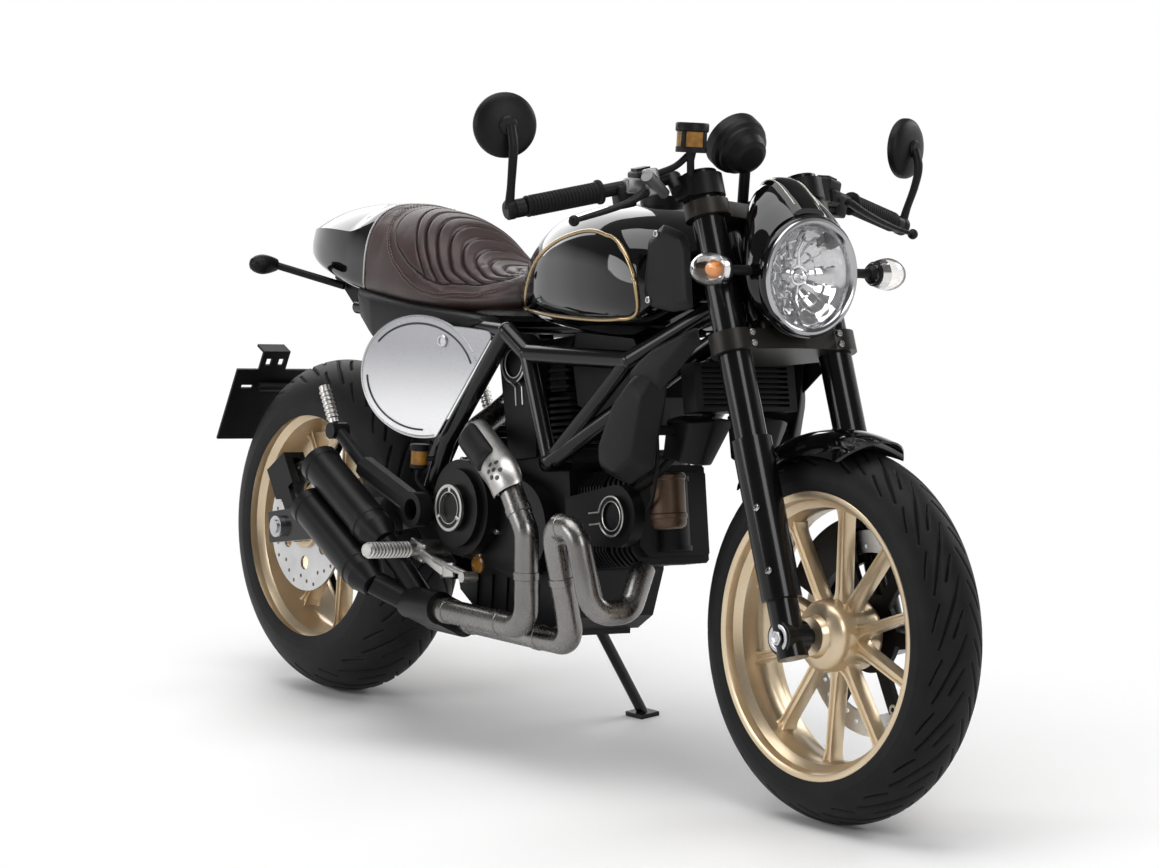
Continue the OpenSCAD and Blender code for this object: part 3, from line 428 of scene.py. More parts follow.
# Columns: slot, dark tone, light tone, roughness from and to, other settings
FINISHES = [
    ("frame_black", (0.0025, 0.0025, 0.003), (0.005, 0.005, 0.006), (0.18, 0.28),
     dict(coat=0.3, grain=700, bump=0.00006, specular=0.2)),
    ("steel", (0.42, 0.42, 0.43), (0.58, 0.58, 0.59), (0.22, 0.4), dict(metal=1.0, stretch=(1, 0.05, 1))),
    ("shock_spring", (0.012, 0.012, 0.013), (0.022, 0.022, 0.024), (0.25, 0.4), dict(coat=0.3)),
    ("chain_steel", (0.12, 0.105, 0.07), (0.26, 0.23, 0.16), (0.3, 0.5), dict(metal=0.9, patch=120)),
    ("gloss_black", (0.0012, 0.0012, 0.0015), (0.0022, 0.0022, 0.0026), (0.05, 0.08),
     dict(coat=0.8, grain=260, specular=0.08)),
    ("matte_black", (0.004, 0.004, 0.0048), (0.0075, 0.0075, 0.0085), (0.36, 0.5),
     dict(grain=1500, bump=0.00018, specular=0.16)),
    ("tail_red", (0.16, 0.004, 0.004), (0.26, 0.01, 0.008), (0.08, 0.16), dict(coat=1.0)),
    ("cooler", (0.006, 0.006, 0.007), (0.014, 0.014, 0.016), (0.4, 0.6), dict(metal=0.2, specular=0.2)),
    ("engine_black", (0.0045, 0.0045, 0.005), (0.0095, 0.0095, 0.0105), (0.36, 0.5),
     dict(grain=1100, bump=0.00025, specular=0.18)),
    ("cover_black", (0.0035, 0.0035, 0.004), (0.0065, 0.0065, 0.0075), (0.28, 0.4),
     dict(grain=1000, bump=0.00012, specular=0.2)),
    ("pipe_steel", (0.185, 0.178, 0.17), (0.27, 0.262, 0.253), (0.22, 0.36),
     dict(metal=1.0, patch=9, grain=260, stretch=(1, 1, 0.2))),
    ("silencer_black", (0.0035, 0.0035, 0.004), (0.0075, 0.0075, 0.0085), (0.3, 0.42),
     dict(grain=1300, bump=0.00012, specular=0.2)),
    ("bracket_black", (0.0035, 0.0035, 0.004), (0.007, 0.007, 0.008), (0.34, 0.46),
     dict(grain=1300, bump=0.00018, specular=0.18)),
    ("bare_aluminium", (0.42, 0.41, 0.39), (0.60, 0.59, 0.57), (0.26, 0.46),
     dict(metal=1.0, grain=500, bump=0.0002)),
    ("fork_black", (0.002, 0.002, 0.0024), (0.004, 0.004, 0.0046), (0.16, 0.26), dict(coat=0.2, specular=0.2)),
    ("rubber", (0.004, 0.004, 0.0042), (0.0075, 0.0075, 0.0078), (0.5, 0.66),
     dict(grain=1200, bump=0.0002, specular=0.16)),
    ("fluid_amber", (0.15, 0.062, 0.006), (0.34, 0.16, 0.02), (0.12, 0.2),
     dict(coat=0.2, patch=60, specular=0.25)),
    ("lamp_glass", (0.55, 0.55, 0.57), (0.75, 0.75, 0.77), (0.05, 0.12), dict(metal=0.9)),
    ("lamp_clear", (0.6, 0.55, 0.5), (0.8, 0.75, 0.7), (0.1, 0.2), {}),
    ("tyre", (0.0042, 0.0042, 0.0046), (0.0085, 0.0085, 0.009), (0.46, 0.62),
     dict(grain=800, bump=0.00025, patch=24, specular=0.17)),
    ("wheel_gold", (0.60, 0.475, 0.315), (0.70, 0.57, 0.40), (0.26, 0.36),
     dict(metal=0.8, grain=1600, coat=0.15)),
    ("disc_steel", (0.5, 0.5, 0.5), (0.66, 0.66, 0.66), (0.2, 0.38), dict(metal=1.0, grain=1400)),
    ("clamp_dark", (0.013, 0.0115, 0.0095), (0.024, 0.021, 0.017), (0.32, 0.46),
     dict(metal=0.4, bump=0.0001, specular=0.35)),
]
LOOK = {name: finish(name, dark, light, rough, **more) for name, dark, light, rough, more in FINISHES}
LOOK["seat_leather"] = leather()
LOOK["board_silver"] = board_metal_painted_shading()
CHROME = finish("chrome", (0.66, 0.66, 0.67), (0.80, 0.80, 0.81), (0.05, 0.12), 1.0)
LAMP_RIM = finish("lamp_rim", (0.34, 0.34, 0.35), (0.46, 0.46, 0.47), (0.1, 0.2), 1.0)
MIRROR_BOWL = finish("mirror_bowl", (0.42, 0.42, 0.43), (0.60, 0.60, 0.61), (0.04, 0.1), 1.0)
CAST_GREY = finish("cast_grey", (0.15, 0.15, 0.15), (0.25, 0.25, 0.25), (0.3, 0.45), 0.9, bump=0.0003)
# Darker leather painted into the deep seat channels as shade
SEAM_PAINTED_SHADE = finish("seam_painted_shade", (0.006, 0.003, 0.0028), (0.011, 0.006, 0.0055), (0.55, 0.7), specular=0.2)
GOLD_TRIM = finish("gold_trim", (0.30, 0.21, 0.10), (0.44, 0.32, 0.17), (0.2, 0.3), 0.85, 0.4)
BRONZE = finish("bronze_cover", (0.060, 0.034, 0.020), (0.098, 0.058, 0.035), (0.32, 0.46), 0.55, bump=0.0002)
THREAD = finish("thread", (0.10, 0.07, 0.06), (0.16, 0.115, 0.10), (0.6, 0.8), grain=2400)
PIPING = finish("piping", (0.36, 0.35, 0.34), (0.5, 0.49, 0.48), (0.35, 0.5), grain=2000)
# Dark paint for the board stripes, and painted shade for the heat guard holes
DARK_PAINT_AND_HOLE_SHADE = finish("dark_paint_and_hole_shade", (0.006, 0.006, 0.007), (0.012, 0.012, 0.013), (0.3, 0.45))
CREAM_PAINT = finish("cream_paint", (0.62, 0.58, 0.5), (0.74, 0.7, 0.62), (0.25, 0.4))
AMBER_BULB = finish("amber_bulb", (0.8, 0.22, 0.02), (0.95, 0.34, 0.05), (0.15, 0.3), coat=0.6)
# Darker rubber painted into the tread grooves as shade
TREAD_PAINTED_SHADE = finish("tread_groove_painted_shade", (0.0022, 0.0022, 0.0024), (0.004, 0.004, 0.0044), (0.7, 0.85), specular=0.1)
CLEAR = glass("clear_lens", (0.98, 0.98, 0.98), 0.02)
MILKY = glass("milky_lens", (0.98, 0.97, 0.95), 0.07)

for node_object in nodes.values():
    for material_slot in node_object.material_slots:
        slot_name = material_slot.material.name.split(".")[0]
        if slot_name in LOOK:
            material_slot.material = LOOK[slot_name]

# Fuel tank, its teardrop side panels and their gold outline
TANK_ROWS = [[-79.7, 80, 752, 842, 790, 0], [-30, 106, 744, 898, 808, 0], [40, 136, 738, 936, 826, 0.05],
             [120, 155, 736, 954, 836, 0.1], [200, 166, 736, 960, 842, 0.18], [280, 166, 746, 957, 848, 0.28],
             [340, 152, 778, 946, 852, 0.36], [375, 124, 802, 926, 856, 0.4], [392, 80, 822, 892, 858, 0.4]]
TANK_UP = 2.5
TANK_LOW = 3.2
PANEL_FROM = -26.0
PANEL_TO = 336.0
PANEL_LOW = [[-26, 766], [60, 763], [150, 763], [236, 766], [300, 774]]
PANEL_HIGH = [[-26, 770], [-8, 806], [30, 844], [100, 884], [180, 906], [236, 911], [300, 900]]
PANEL_ROUND = 276.0
PANEL_MIDDLE = 838.0
PANEL_THICK = 6.0
PANEL_POINTS = 28
TRIM_RADIUS = 3.4
AROUND = 120


def panel_edges(s):
    """Lower and upper edge of the teardrop, closed by a half ellipse at the front."""
    u = np.clip((s - PANEL_ROUND) / (PANEL_TO - PANEL_ROUND), 0, 1)
    close = np.sqrt(np.maximum(1 - u * u, 0))
    return (PANEL_MIDDLE + (along(rows, np.minimum(s, PANEL_ROUND))[:, 1] - PANEL_MIDDLE) * close
            for rows in (PANEL_LOW, PANEL_HIGH))


def tank_side(s, z, out):
    w, zb, zt, zc, k = along(TANK_ROWS, s)[:, 1:6].T
    above = z > zc
    q = np.where(above, (z - zc) / (zt - zc), (zc - z) / (zc - zb))
    n = np.where(above, TANK_UP, TANK_LOW)
    y = w * np.maximum(1 - np.clip(q, 0, 1) ** n, 0) ** (1 / n)
    return np.stack([s - k * (z - RAKE_FROM), y + out, z], -1)


def tank():
    xs = np.concatenate([np.linspace(-79.7, 340, 70), np.linspace(345, 392, 20)])
    skin = Parts(capped(loft(TANK_ROWS, TANK_UP, TANK_LOW, xs, AROUND)))
    put("tank_skin", skin, "chassis", "gloss_black", node="fuel_tank")
    bow = np.sin(np.linspace(0, math.pi / 2, 34)) * 0.9995
    straight = np.linspace(PANEL_FROM, PANEL_ROUND, 60)[:-1]
    s = np.concatenate([straight, PANEL_ROUND + (PANEL_TO - PANEL_ROUND) * bow])
    z_low, z_high = panel_edges(s)
    rows = []
    for u in np.linspace(0, 1, PANEL_POINTS):
        rows.append(tank_side(s, z_low + (z_high - z_low) * u, 2.0 + 2.2 * (1 - abs(2 * u - 1) ** 6)))
    outer = np.stack(rows, 1)
    inner = outer - np.array([0, PANEL_THICK, 0])
    panels = Parts().both(capped(np.concatenate([outer, inner[:, ::-1]], 1)))
    put("tank_side_panels", panels, "chassis", "gloss_black", node="tank_panels")
    edge = np.vstack([outer[:, 0], outer[-1, 1:-1], outer[::-1, -1], outer[0, -2:0:-1]]) + np.array([0, 0.6, 0])
    keep = [0]
    for i in range(1, len(edge)):
        if np.linalg.norm(edge[i] - edge[keep[-1]]) > 3:
            keep.append(i)
    path = spline(edge[keep], 320, closed=True)
    trim = Parts().both(sweep(path, TRIM_RADIUS, 10, closed=True))
    put("tank_gold_trim", trim, "chassis", "wheel_gold", GOLD_TRIM)


tank()

# Seat: padded cover with sewn ribs inside a stitched border
SEAT_ROWS = [[-520, 118, 758, 931, 800, 0], [-457, 130, 756, 928, 798, 0], [-408, 136, 753, 918, 796, 0],
             [-358, 140, 750, 900, 792, 0], [-309, 140, 747, 872, 788, 0], [-250, 137, 745, 842, 784, 0],
             [-190, 124, 746, 828, 782, 0], [-130, 104, 752, 828, 786, 0], [-80, 78, 762, 832, 792, 0]]
SEAT_UP = 2.8
SEAT_LOW = 4.0
SEAT_GRID = (300, 316)
SEAT_FREE = (-506.0, -94.0)
RIB_START = -452.0
RIB_STEP = 35.0
RIB_SWEEP = 150.0
RIB_POWER = 1.9
RIB_RISE = 1.2
RIB_ROUND = 9.0
CHANNEL_DEPTH = 4.2
CHANNEL_WIDTH = 2.4
EDGE_DEPTH = 3.0
EDGE_WIDTH = 3.0
SKIRT_DEPTH = 1.6
INSERT_AT = [-460, -420, -360, -300, -250, -200, -120]
INSERT_SHARE = [0.87, 0.89, 0.93, 0.93, 0.90, 0.84, 0.78]
INSERT_REAR = -468.0
INSERT_ROUND = 66.0
SEAM_OFFSETS = (20.0, 27.0)
SEAM_DEPTH = -1.3
THREAD_LENGTH = 5.0
THREAD_STEP = 8.0
THREAD_RADIUS = 0.75
SEAT_SHRINK = 5.0
SEAT_RISE_CAP = 9.0
CLOTH_CELL = 0.005
CLOTH_PRESSURE = 4.0
CLOTH_FRAMES = 20


def seat_lengths(p):
    """Length along each section from the crown, and the length at which the ribbed insert ends."""
    top = p.shape[1] // 4
    step = np.linalg.norm(np.roll(p, -1, 1) - p, axis=-1)
    run = np.cumsum(step, 1) - step
    run = np.abs(run - run[:, top:top + 1])
    x = p[:, top, 0]
    wide = along(SEAT_ROWS, np.clip(x, -520, -80))[:, 1] * np.interp(x, INSERT_AT, INSERT_SHARE)
    full = [np.interp(w, np.abs(row[top::-1, 1]), s[top::-1]) for w, row, s in zip(wide, p, run)]
    return run, x, np.array(full)


def insert_edge(x, full, off):
    """Edge of the insert, or of a seam at a distance outside it, rounded at the rear."""
    rear = np.clip((x - INSERT_REAR + off) / (INSERT_ROUND + off), 0, 1)
    return (full + off) * np.sqrt(np.maximum(1 - (1 - rear) ** 2, 0))


def seat_pattern(p):
    """Height of the sewn ribs, their channels and the seams over the plain cover."""
    run, x_row, full = seat_lengths(p)
    x, z = p[..., 0], p[..., 2]
    half = np.broadcast_to(insert_edge(x_row, full, 0.0)[:, None], x.shape)
    crown = along(SEAT_ROWS, x.reshape(-1))[:, 4].reshape(x.shape)
    upper = (z > crown + 8).astype(float)
    v = np.clip(run / np.maximum(half, 1), 0, 1)
    inside = np.clip((half - run) / 6, 0, 1)
    start = x - RIB_SWEEP * v ** RIB_POWER - RIB_START
    slope = np.hypot(1, RIB_SWEEP * RIB_POWER * v ** (RIB_POWER - 1) / np.maximum(half, 30))
    near = np.abs((start + RIB_STEP / 2) % RIB_STEP - RIB_STEP / 2) / slope
    in_range = np.clip((start + 6) / 6, 0, 1) * np.clip((-104 - x) / 24, 0, 1)
    pillow = np.clip(near / RIB_ROUND, 0, 1)
    ribs = RIB_RISE * pillow * (2 - pillow) - CHANNEL_DEPTH * np.exp(-(near / CHANNEL_WIDTH) ** 2)
    edge = np.exp(-((half - run) / EDGE_WIDTH) ** 2)
    edge = edge * np.clip((-96 - x) / 20, 0, 1) * np.clip((x - INSERT_REAR) / 6, 0, 1)
    skirt = np.exp(-((z - crown + 2) / CHANNEL_WIDTH) ** 2)
    return upper * (inside * in_range * ribs - EDGE_DEPTH * edge) - SKIRT_DEPTH * skirt * (1 - upper)


def stitches(path):
    """Short threads along a seam, each bowed outwards at its middle."""
    total = np.concatenate([[0], np.cumsum(np.linalg.norm(np.diff(path, axis=0), axis=1))])
    threads = []
    s = THREAD_STEP / 2
    while s < total[-1] - THREAD_LENGTH:
        spots = (s, s + THREAD_LENGTH / 2, s + THREAD_LENGTH)
        a, b, c = (np.array([np.interp(t, total, path[:, i]) for i in range(3)]) for t in spots)
        threads.append(np.array([a, b + unit([0, b[1], b[2] - 790]) * 0.6, c]))
        s += THREAD_STEP
    return threads


def inflated(points, faces, held):
    """Cloth with inner air pressure on a remeshed copy of the shell, its movement capped."""
    me = bpy.data.meshes.new("seat_air")
    me.from_pydata((points * 0.001).tolist(), [], faces)
    ob = bpy.data.objects.new("seat_air", me)
    scene.collection.objects.link(ob)
    remesh = ob.modifiers.new("remesh", "REMESH")
    remesh.mode = "VOXEL"
    remesh.voxel_size = CLOTH_CELL
    skin = bpy.data.meshes.new_from_object(ob.evaluated_get(bpy.context.evaluated_depsgraph_get()))
    ob.modifiers.clear()
    ob.data = skin
    rest = np.array([v.co[:] for v in skin.vertices]) * 1000
    group = ob.vertex_groups.new(name="held")
    group.add([int(i) for i in np.nonzero(held(rest))[0]], 1.0, "REPLACE")
    cloth = ob.modifiers.new("cloth", "CLOTH")
    cloth.settings.vertex_group_mass = "held"
    cloth.settings.use_pressure = True
    cloth.settings.uniform_pressure_force = CLOTH_PRESSURE
    cloth.settings.effector_weights.gravity = 0.0
    cloth.collision_settings.use_collision = False
    cloth.point_cache.frame_end = CLOTH_FRAMES
    for step in range(1, CLOTH_FRAMES + 1):
        scene.frame_set(step)
    result = ob.evaluated_get(bpy.context.evaluated_depsgraph_get()).to_mesh()
    risen = np.array([v.co[:] for v in result.vertices]) * 1000 - rest
    polygons = [tuple(f.vertices) for f in result.polygons]
    scene.frame_set(1)
    size = np.linalg.norm(risen, axis=1, keepdims=True)
    risen *= np.minimum(1, SEAT_RISE_CAP / np.maximum(size, 1e-6))
    bpy.data.objects.remove(ob)
    return BVHTree.FromPolygons((rest + risen).tolist(), polygons)


def seat_held(p):
    crown = along(SEAT_ROWS, np.clip(p[:, 0], -519, -81))
    return (p[:, 0] < SEAT_FREE[0]) | (p[:, 0] > SEAT_FREE[1]) | (p[:, 2] < crown[:, 4] - 6)


def swollen(p, xs, faces):
    """Shell shrunk where it is free, inflated as cloth, and the rise smoothed over the grid."""
    nu = len(xs)
    free = np.clip((p[..., 0] - SEAT_FREE[0]) / 40, 0, 1) * np.clip((SEAT_FREE[1] - p[..., 0]) / 40, 0, 1)
    free = free * np.clip((p[..., 2] - along(SEAT_ROWS, xs)[:, 4][:, None]) / 20, 0, 1)
    small = p - normals(p) * (SEAT_SHRINK * free)[..., None]
    flat = small.reshape(-1, 3)
    surface = inflated(flat, faces, seat_held)
    risen = np.array([surface.find_nearest(q)[0][:] for q in flat]).reshape(p.shape) - small
    for step in range(10):
        around = np.roll(risen, 1, 1) + np.roll(risen, -1, 1)
        around = around + risen[np.r_[0, :nu - 1]] + risen[np.r_[1:nu, nu - 1]]
        risen = 0.5 * risen + 0.5 * around / 4
    return small + risen


def seat():
    nu, nv = SEAT_GRID
    xs = np.linspace(-520, -80, nu)
    p = loft(SEAT_ROWS, SEAT_UP, SEAT_LOW, xs, nv)
    faces = capped(p)[1]
    p = swollen(p, xs, faces)
    pattern = seat_pattern(p)
    p = p + normals(p) * pattern[..., None]
    ob = put("seat_pad", Parts((p, faces)), "chassis", "seat_leather", node="seat", sharp=50)
    # The faces deep in the channels get the darker leather: painted shade in the channels
    ob.data.materials.append(SEAM_PAINTED_SHADE)
    deep = pattern.reshape(-1)
    sunk = [len(f) == 4 and max(deep[i] for i in f) < SEAM_DEPTH for f in faces]
    ob.data.polygons.foreach_set("material_index", np.array(sunk, np.int32))
    thread = Parts()
    run, x_row, full = seat_lengths(p)
    lifted = p + normals(p) * 1.1
    rows = np.nonzero((x_row > -505) & (x_row < -120))[0]
    for off in SEAM_OFFSETS:
        length = insert_edge(x_row, full, off)
        for side in (np.arange(nv // 4, -1, -1), np.arange(nv // 4, nv // 2 + 12)):
            seam = [[np.interp(length[i], run[i, side], lifted[i, side, k]) for k in range(3)]
                    for i in rows[::-1]]
            for s in stitches(np.array(seam)):
                thread.add(sweep(s, THREAD_RADIUS, 6))
    put("seat_stitching", thread, "chassis", "seat_leather", THREAD)
    ring = loft(SEAT_ROWS, SEAT_UP, SEAT_LOW, np.array([-519.0]), 200)[0]
    edge = ring[np.r_[np.arange(190, 200), np.arange(0, 111)]] * np.array([1, 1.004, 1]) + np.array([0, 0, 0.4])
    put("seat_piping", Parts(sweep(edge, 1.7, 8)), "chassis", "seat_leather", PIPING)


seat()

# Tail cowl: its roof and flanks meet in a crease that fades towards the seat
TAIL_ROWS = [[-802, 40, 822, 872, 848, 0], [-790, 58, 818, 886, 845, 0], [-760, 76, 809, 903, 838, 0],
             [-710, 95, 796, 917, 828, 0], [-650, 108, 783, 926, 817, 0], [-580, 116, 768, 931, 806, 0],
             [-520.3, 118, 758, 931, 800, 0]]
TAIL_FLANK = 0.4
CREASE_OUT = 0.93
CREASE_UP = 0.55
CREASE_FROM = -526.0
CREASE_FADE = 70.0


def tail():
    xs = np.concatenate([np.linspace(-802, -786, 12), np.linspace(-782, -520.3, 60)])
    p = loft(TAIL_ROWS, SEAT_UP, SEAT_LOW, xs, AROUND)
    c = along(TAIL_ROWS, xs)
    half = AROUND // 2 + 1
    up = np.linspace(0, 2, half)
    up = np.minimum(up, 2 - up)
    flank = np.minimum(up / TAIL_FLANK, 1)
    roof = np.clip((up - TAIL_FLANK) / (1 - TAIL_FLANK), 0, 1)
    y = np.where(up < TAIL_FLANK, 1 - (1 - CREASE_OUT) * flank ** 1.4, CREASE_OUT * (1 - roof))
    q = np.where(up < TAIL_FLANK, CREASE_UP * flank, CREASE_UP + (1 - CREASE_UP) * (1 - (1 - roof) ** 1.7))
    y = y * np.sign(np.linspace(1, -1, half))
    sharp = np.stack([p[:, :half, 0], c[:, 1:2] * y, c[:, 4:5] + (c[:, 3:4] - c[:, 4:5]) * q], -1)
    share = np.clip((CREASE_FROM - xs) / CREASE_FADE, 0, 1)
    share = (share * share * (3 - 2 * share))[:, None, None]
    p[:, :half] += (sharp - p[:, :half]) * share
    put("tail_skin", Parts(capped(p)), "chassis", "gloss_black", node="tail_cowl", sharp=20)


tail()

# Headlight cowl, its raised centre band, lamp ring, faceted reflector, bulb and lens
LAMP_ROWS = [[518, 60, 806, 958, 872, 0.4], [534, 74, 794, 1000, 868, 0.32], [550, 96, 786, 1008, 865, 0.2],
             [568, 106, 778, 985, 861, 0.08], [588, 99, 761, 959, 860, 0]]
LAMP_FACE = 588.0
LAMP_Z = 860.0
LAMP_POWER = 2.2
ON_LAMP = shift(LAMP_FACE + 0.3, 0, LAMP_Z) @ turn(0, 90, 0)
LAMP_RING = [(95, 0), (95, 12), (93, 15), (89, 16), (85, 14), (82, 9), (80, 1), (86, -1)]
LAMP_EDGE = [(94, -2), (98.6, -2), (99.4, 2), (98.6, 9), (96, 12), (94.4, 12)]
BULB = [(AXIS, -40), (12, -40), (12, -16), (10, -8), (6, -3), (AXIS, -1)]
BULB_COLLAR = [(13, -26), (16, -26), (16, -20), (13, -20)]
LENS_RADIUS = 84.0
LENS_THICK = 2.6
REFLECTOR_GRID = (144, 26)
BAND_HALF = 34.0
BAND_RISE = 9.0
BAND_GRID = (40, 25)


def lamp_reflector():
    na, nr = REFLECTOR_GRID
    mirror = []
    for i in range(na):
        a = 2 * math.pi * i / na
        for u in np.linspace(0, 1, nr):
            r = 83 - 71 * u
            facet = abs(math.sin(7 * a)) * 2.6 * math.sin(math.pi * min(1, u * 1.15)) ** 0.5
            step = 1.6 * ((int(u * 5) + int(a * 7 / math.pi)) % 2)
            h = 5 - 44 * math.sin(u * math.pi / 2) ** 0.8 + facet + step * math.sin(math.pi * u)
            mirror.append((r * math.cos(a), r * math.sin(a), h))
    return moved(mirror, ON_LAMP), grid_faces(na, nr, wrap_u=True, wrap_v=False)


def cowl_band():
    band = []
    for x in np.linspace(520, 586, BAND_GRID[0]):
        _, w, _, zt, zc, k = along(LAMP_ROWS, np.array([x]))[0]
        for v in np.linspace(-1, 1, BAND_GRID[1]):
            q = min(abs(BAND_HALF * v) / w, 1)
            z = zc + (zt - zc) * max(1 - q ** LAMP_POWER, 0) ** (1 / LAMP_POWER)
            rise = BAND_RISE * max(1 - abs(v) ** 5, 0) - 1.2
            band.append((x - k * (z - RAKE_FROM) + rise * 0.45, BAND_HALF * v, z + rise * 0.85))
    return np.array(band).reshape(*BAND_GRID, 3)


def headlight():
    n = 50
    p = loft(LAMP_ROWS, LAMP_POWER, LAMP_POWER, np.linspace(518, LAMP_FACE, n), AROUND)
    rows = [p.reshape(-1, 3)]
    for x, share in ((LAMP_FACE, 0.86), (540.0, 0.5)):
        high = LAMP_Z + (p[-1, :, 2] - LAMP_Z) * share
        rows.append(np.stack([np.full(AROUND, x), p[-1, :, 1] * share, high], -1))
    faces = grid_faces(n, AROUND) + cap_faces(n, AROUND, last=False)
    faces += grid_faces(3, AROUND, start=(n - 1) * AROUND) + [tuple(range((n + 1) * AROUND, (n + 2) * AROUND))]
    put("lamp_cowl", Parts((np.vstack(rows), faces)), "steering", "gloss_black", node="headlight_shell")
    put("lamp_ring", Parts(revolve(LAMP_RING, 96, ON_LAMP)), "steering", "lamp_glass", LAMP_RIM)
    put("lamp_outer_edge", Parts(revolve(LAMP_EDGE, 96, ON_LAMP)), "steering", "gloss_black")
    put("lamp_reflector", Parts(lamp_reflector()), "steering", "lamp_glass", MIRROR_BOWL, sharp=12)
    bulb = Parts(revolve(BULB, 32, ON_LAMP), revolve(BULB_COLLAR, 32, ON_LAMP))
    for s in (-1, 1):
        bulb.add(sweep(moved([(s * 14, 0, -22), (s * 40, 0, -24), (s * 62, 0, -10)], ON_LAMP), 2.2, 8))
    put("lamp_bulb_shield", bulb, "steering", "lamp_glass", CHROME)
    rs = np.linspace(AXIS, LENS_RADIUS, 20)
    dome = [(r, 25 - 17 * (r / LENS_RADIUS) ** 2) for r in rs]
    lens = Parts(revolve(dome + [(r, h - LENS_THICK) for r, h in dome[::-1]], 96, ON_LAMP))
    put("lamp_lens", lens, "steering", "lamp_glass", CLEAR, "headlight")
    top = cowl_band()
    low = top - np.array([0, 0, 8.0])
    put("lamp_cowl_band", Parts(capped(np.concatenate([top, low[:, ::-1]], 1))), "steering", "gloss_black")
    line = top[4:36, 21] + np.array([0.3, 0, 0.5])
    put("lamp_cowl_stripe", Parts().both(sweep(line, 1.1, 6)), "steering", "board_silver", CREAM_PAINT)


headlight()

# Turn lamps: clear egg lens over an amber bulb on a black stalk
TURN_LAMP = to_left(571, 150, 866)
TURN_BULB = [(AXIS, 8), (6, 9), (11, 16), (13, 25), (11, 35), (6, 41), (AXIS, 43)]
TURN_MIRROR = [(23, 25), (18, 11), (9, 5), (AXIS, 4), (AXIS, 2.5), (10, 3), (20, 9), (24, 24)]
TURN_BASE = [(AXIS, -6), (9, -6), (12, -2), (20, 5), (20.6, 10), (16, 10), (12, 3), (AXIS, 3)]
TURN_STALK = [(568, 100, 866), (569.5, 128, 866), (571, 150, 866)]


def egg_profile(length, r):
    out = []
    for u in np.linspace(0, 1, 25):
        width = 0.42 + 0.58 * math.sin(math.radians(20 + 70 * min(1, u * 1.7)))
        tip = math.sqrt(max(0, 1 - max(0, (u - 0.45) / 0.55) ** 2))
        out.append((max(r * width * tip, AXIS), length * u))
    return out


def turn_lamps():
    skin = egg_profile(70, 27)
    thick = [(max(r - 1.8, AXIS / 2), h * 0.95 + 0.8) for r, h in skin[::-1]]
    put("front_turn_lens", Parts().both(revolve(skin + thick, 48, TURN_LAMP)), "steering", "lamp_clear", MILKY,
        "front_indicators")
    bulb = Parts().both(revolve(TURN_BULB, 28, TURN_LAMP))
    put("front_turn_bulb", bulb, "steering", "lamp_clear", AMBER_BULB)
    reflector = Parts().both(revolve(TURN_MIRROR, 40, TURN_LAMP))
    put("front_turn_reflector", reflector, "steering", "lamp_clear", CHROME)
    base = Parts().both(revolve(TURN_BASE, 40, TURN_LAMP)).both(sweep(TURN_STALK, [9, 7.6, 8.5], 16))
    put("front_turn_stalk", base, "steering", "matte_black")


turn_lamps()

# Exhaust headers as smooth pipes with joint bands
REAR_ROUTE = [[-96, -40, 628], [-140, -55, 590], [-100, -152, 548], [62, -194, 488], [122, -188, 400],
              [124, -180, 236], [-130, -180, 236]]
FRONT_ROUTE = [[280, -60, 354], [316, -112, 288], [304, -178, 284], [272, -197, 424], [200, -192, 418],
               [190, -130, 216], [-130, -130, 216]]
REAR_BEND = 40
FRONT_BEND = 38
PIPE_RADIUS = 21.0
BAND_PLACES = ((3, 0.62), (4, 0.45), (5, 0.3), (5, 0.92))


def headers():
    pipes, bands = Parts(), Parts()
    for route, bend in ((REAR_ROUTE, REAR_BEND), (FRONT_ROUTE, FRONT_BEND)):
        pipes.add(sweep(rounded(route, bend), PIPE_RADIUS, 40))
        for i, t in BAND_PLACES:
            a, b = np.array(route[i:i + 2], float)
            d = unit(b - a)
            c = a + (b - a) * t
            bands.add(sweep([c - d * 7, c - d * 6, c + d * 6, c + d * 7], [21.2, 22.6, 22.6, 21.2], 40))
    put("header_pipes", pipes, "chassis", "pipe_steel", node="exhaust_headers")
    put("header_bands", bands, "chassis", "pipe_steel")


headers()

# Tyres with swept tread grooves. Groove columns: share of a pitch around, mm across, half width
GROOVES = [[(0.02, 5, 1.7), (0.36, 18, 2.6), (0.80, 36, 2.9), (1.30, 52, 2.0)],
           [(0.62, 9, 1.6), (0.86, 20, 2.3), (1.10, 29, 1.6)],
           [(0.48, 46, 1.5), (0.72, 55, 2.0), (0.98, 62, 1.4)]]
GROOVE_DEPTH = 4.0
GROOVE_SHADE = 1.6
BEAD_RADIUS = 226.0


def groove_share(u, v, pitch, lines):
    """Share of the full depth at u around and v across, both in mm."""
    best = np.full(u.shape, 1e9)
    for line in lines:
        pts = spline(line, 14)
        for a, b in zip(pts[:-1], pts[1:]):
            for k in (-1, 0, 1):
                au, bu = a[0] + k * pitch, b[0] + k * pitch
                du, dv = bu - au, b[1] - a[1]
                t = np.clip(((u - au) * du + (v - a[1]) * dv) / (du * du + dv * dv), 0, 1)
                best = np.minimum(best, np.hypot(u - au - t * du, v - a[1] - t * dv) / (0.5 * (a[2] + b[2])))
    return np.clip(1.25 - best, 0, 1)


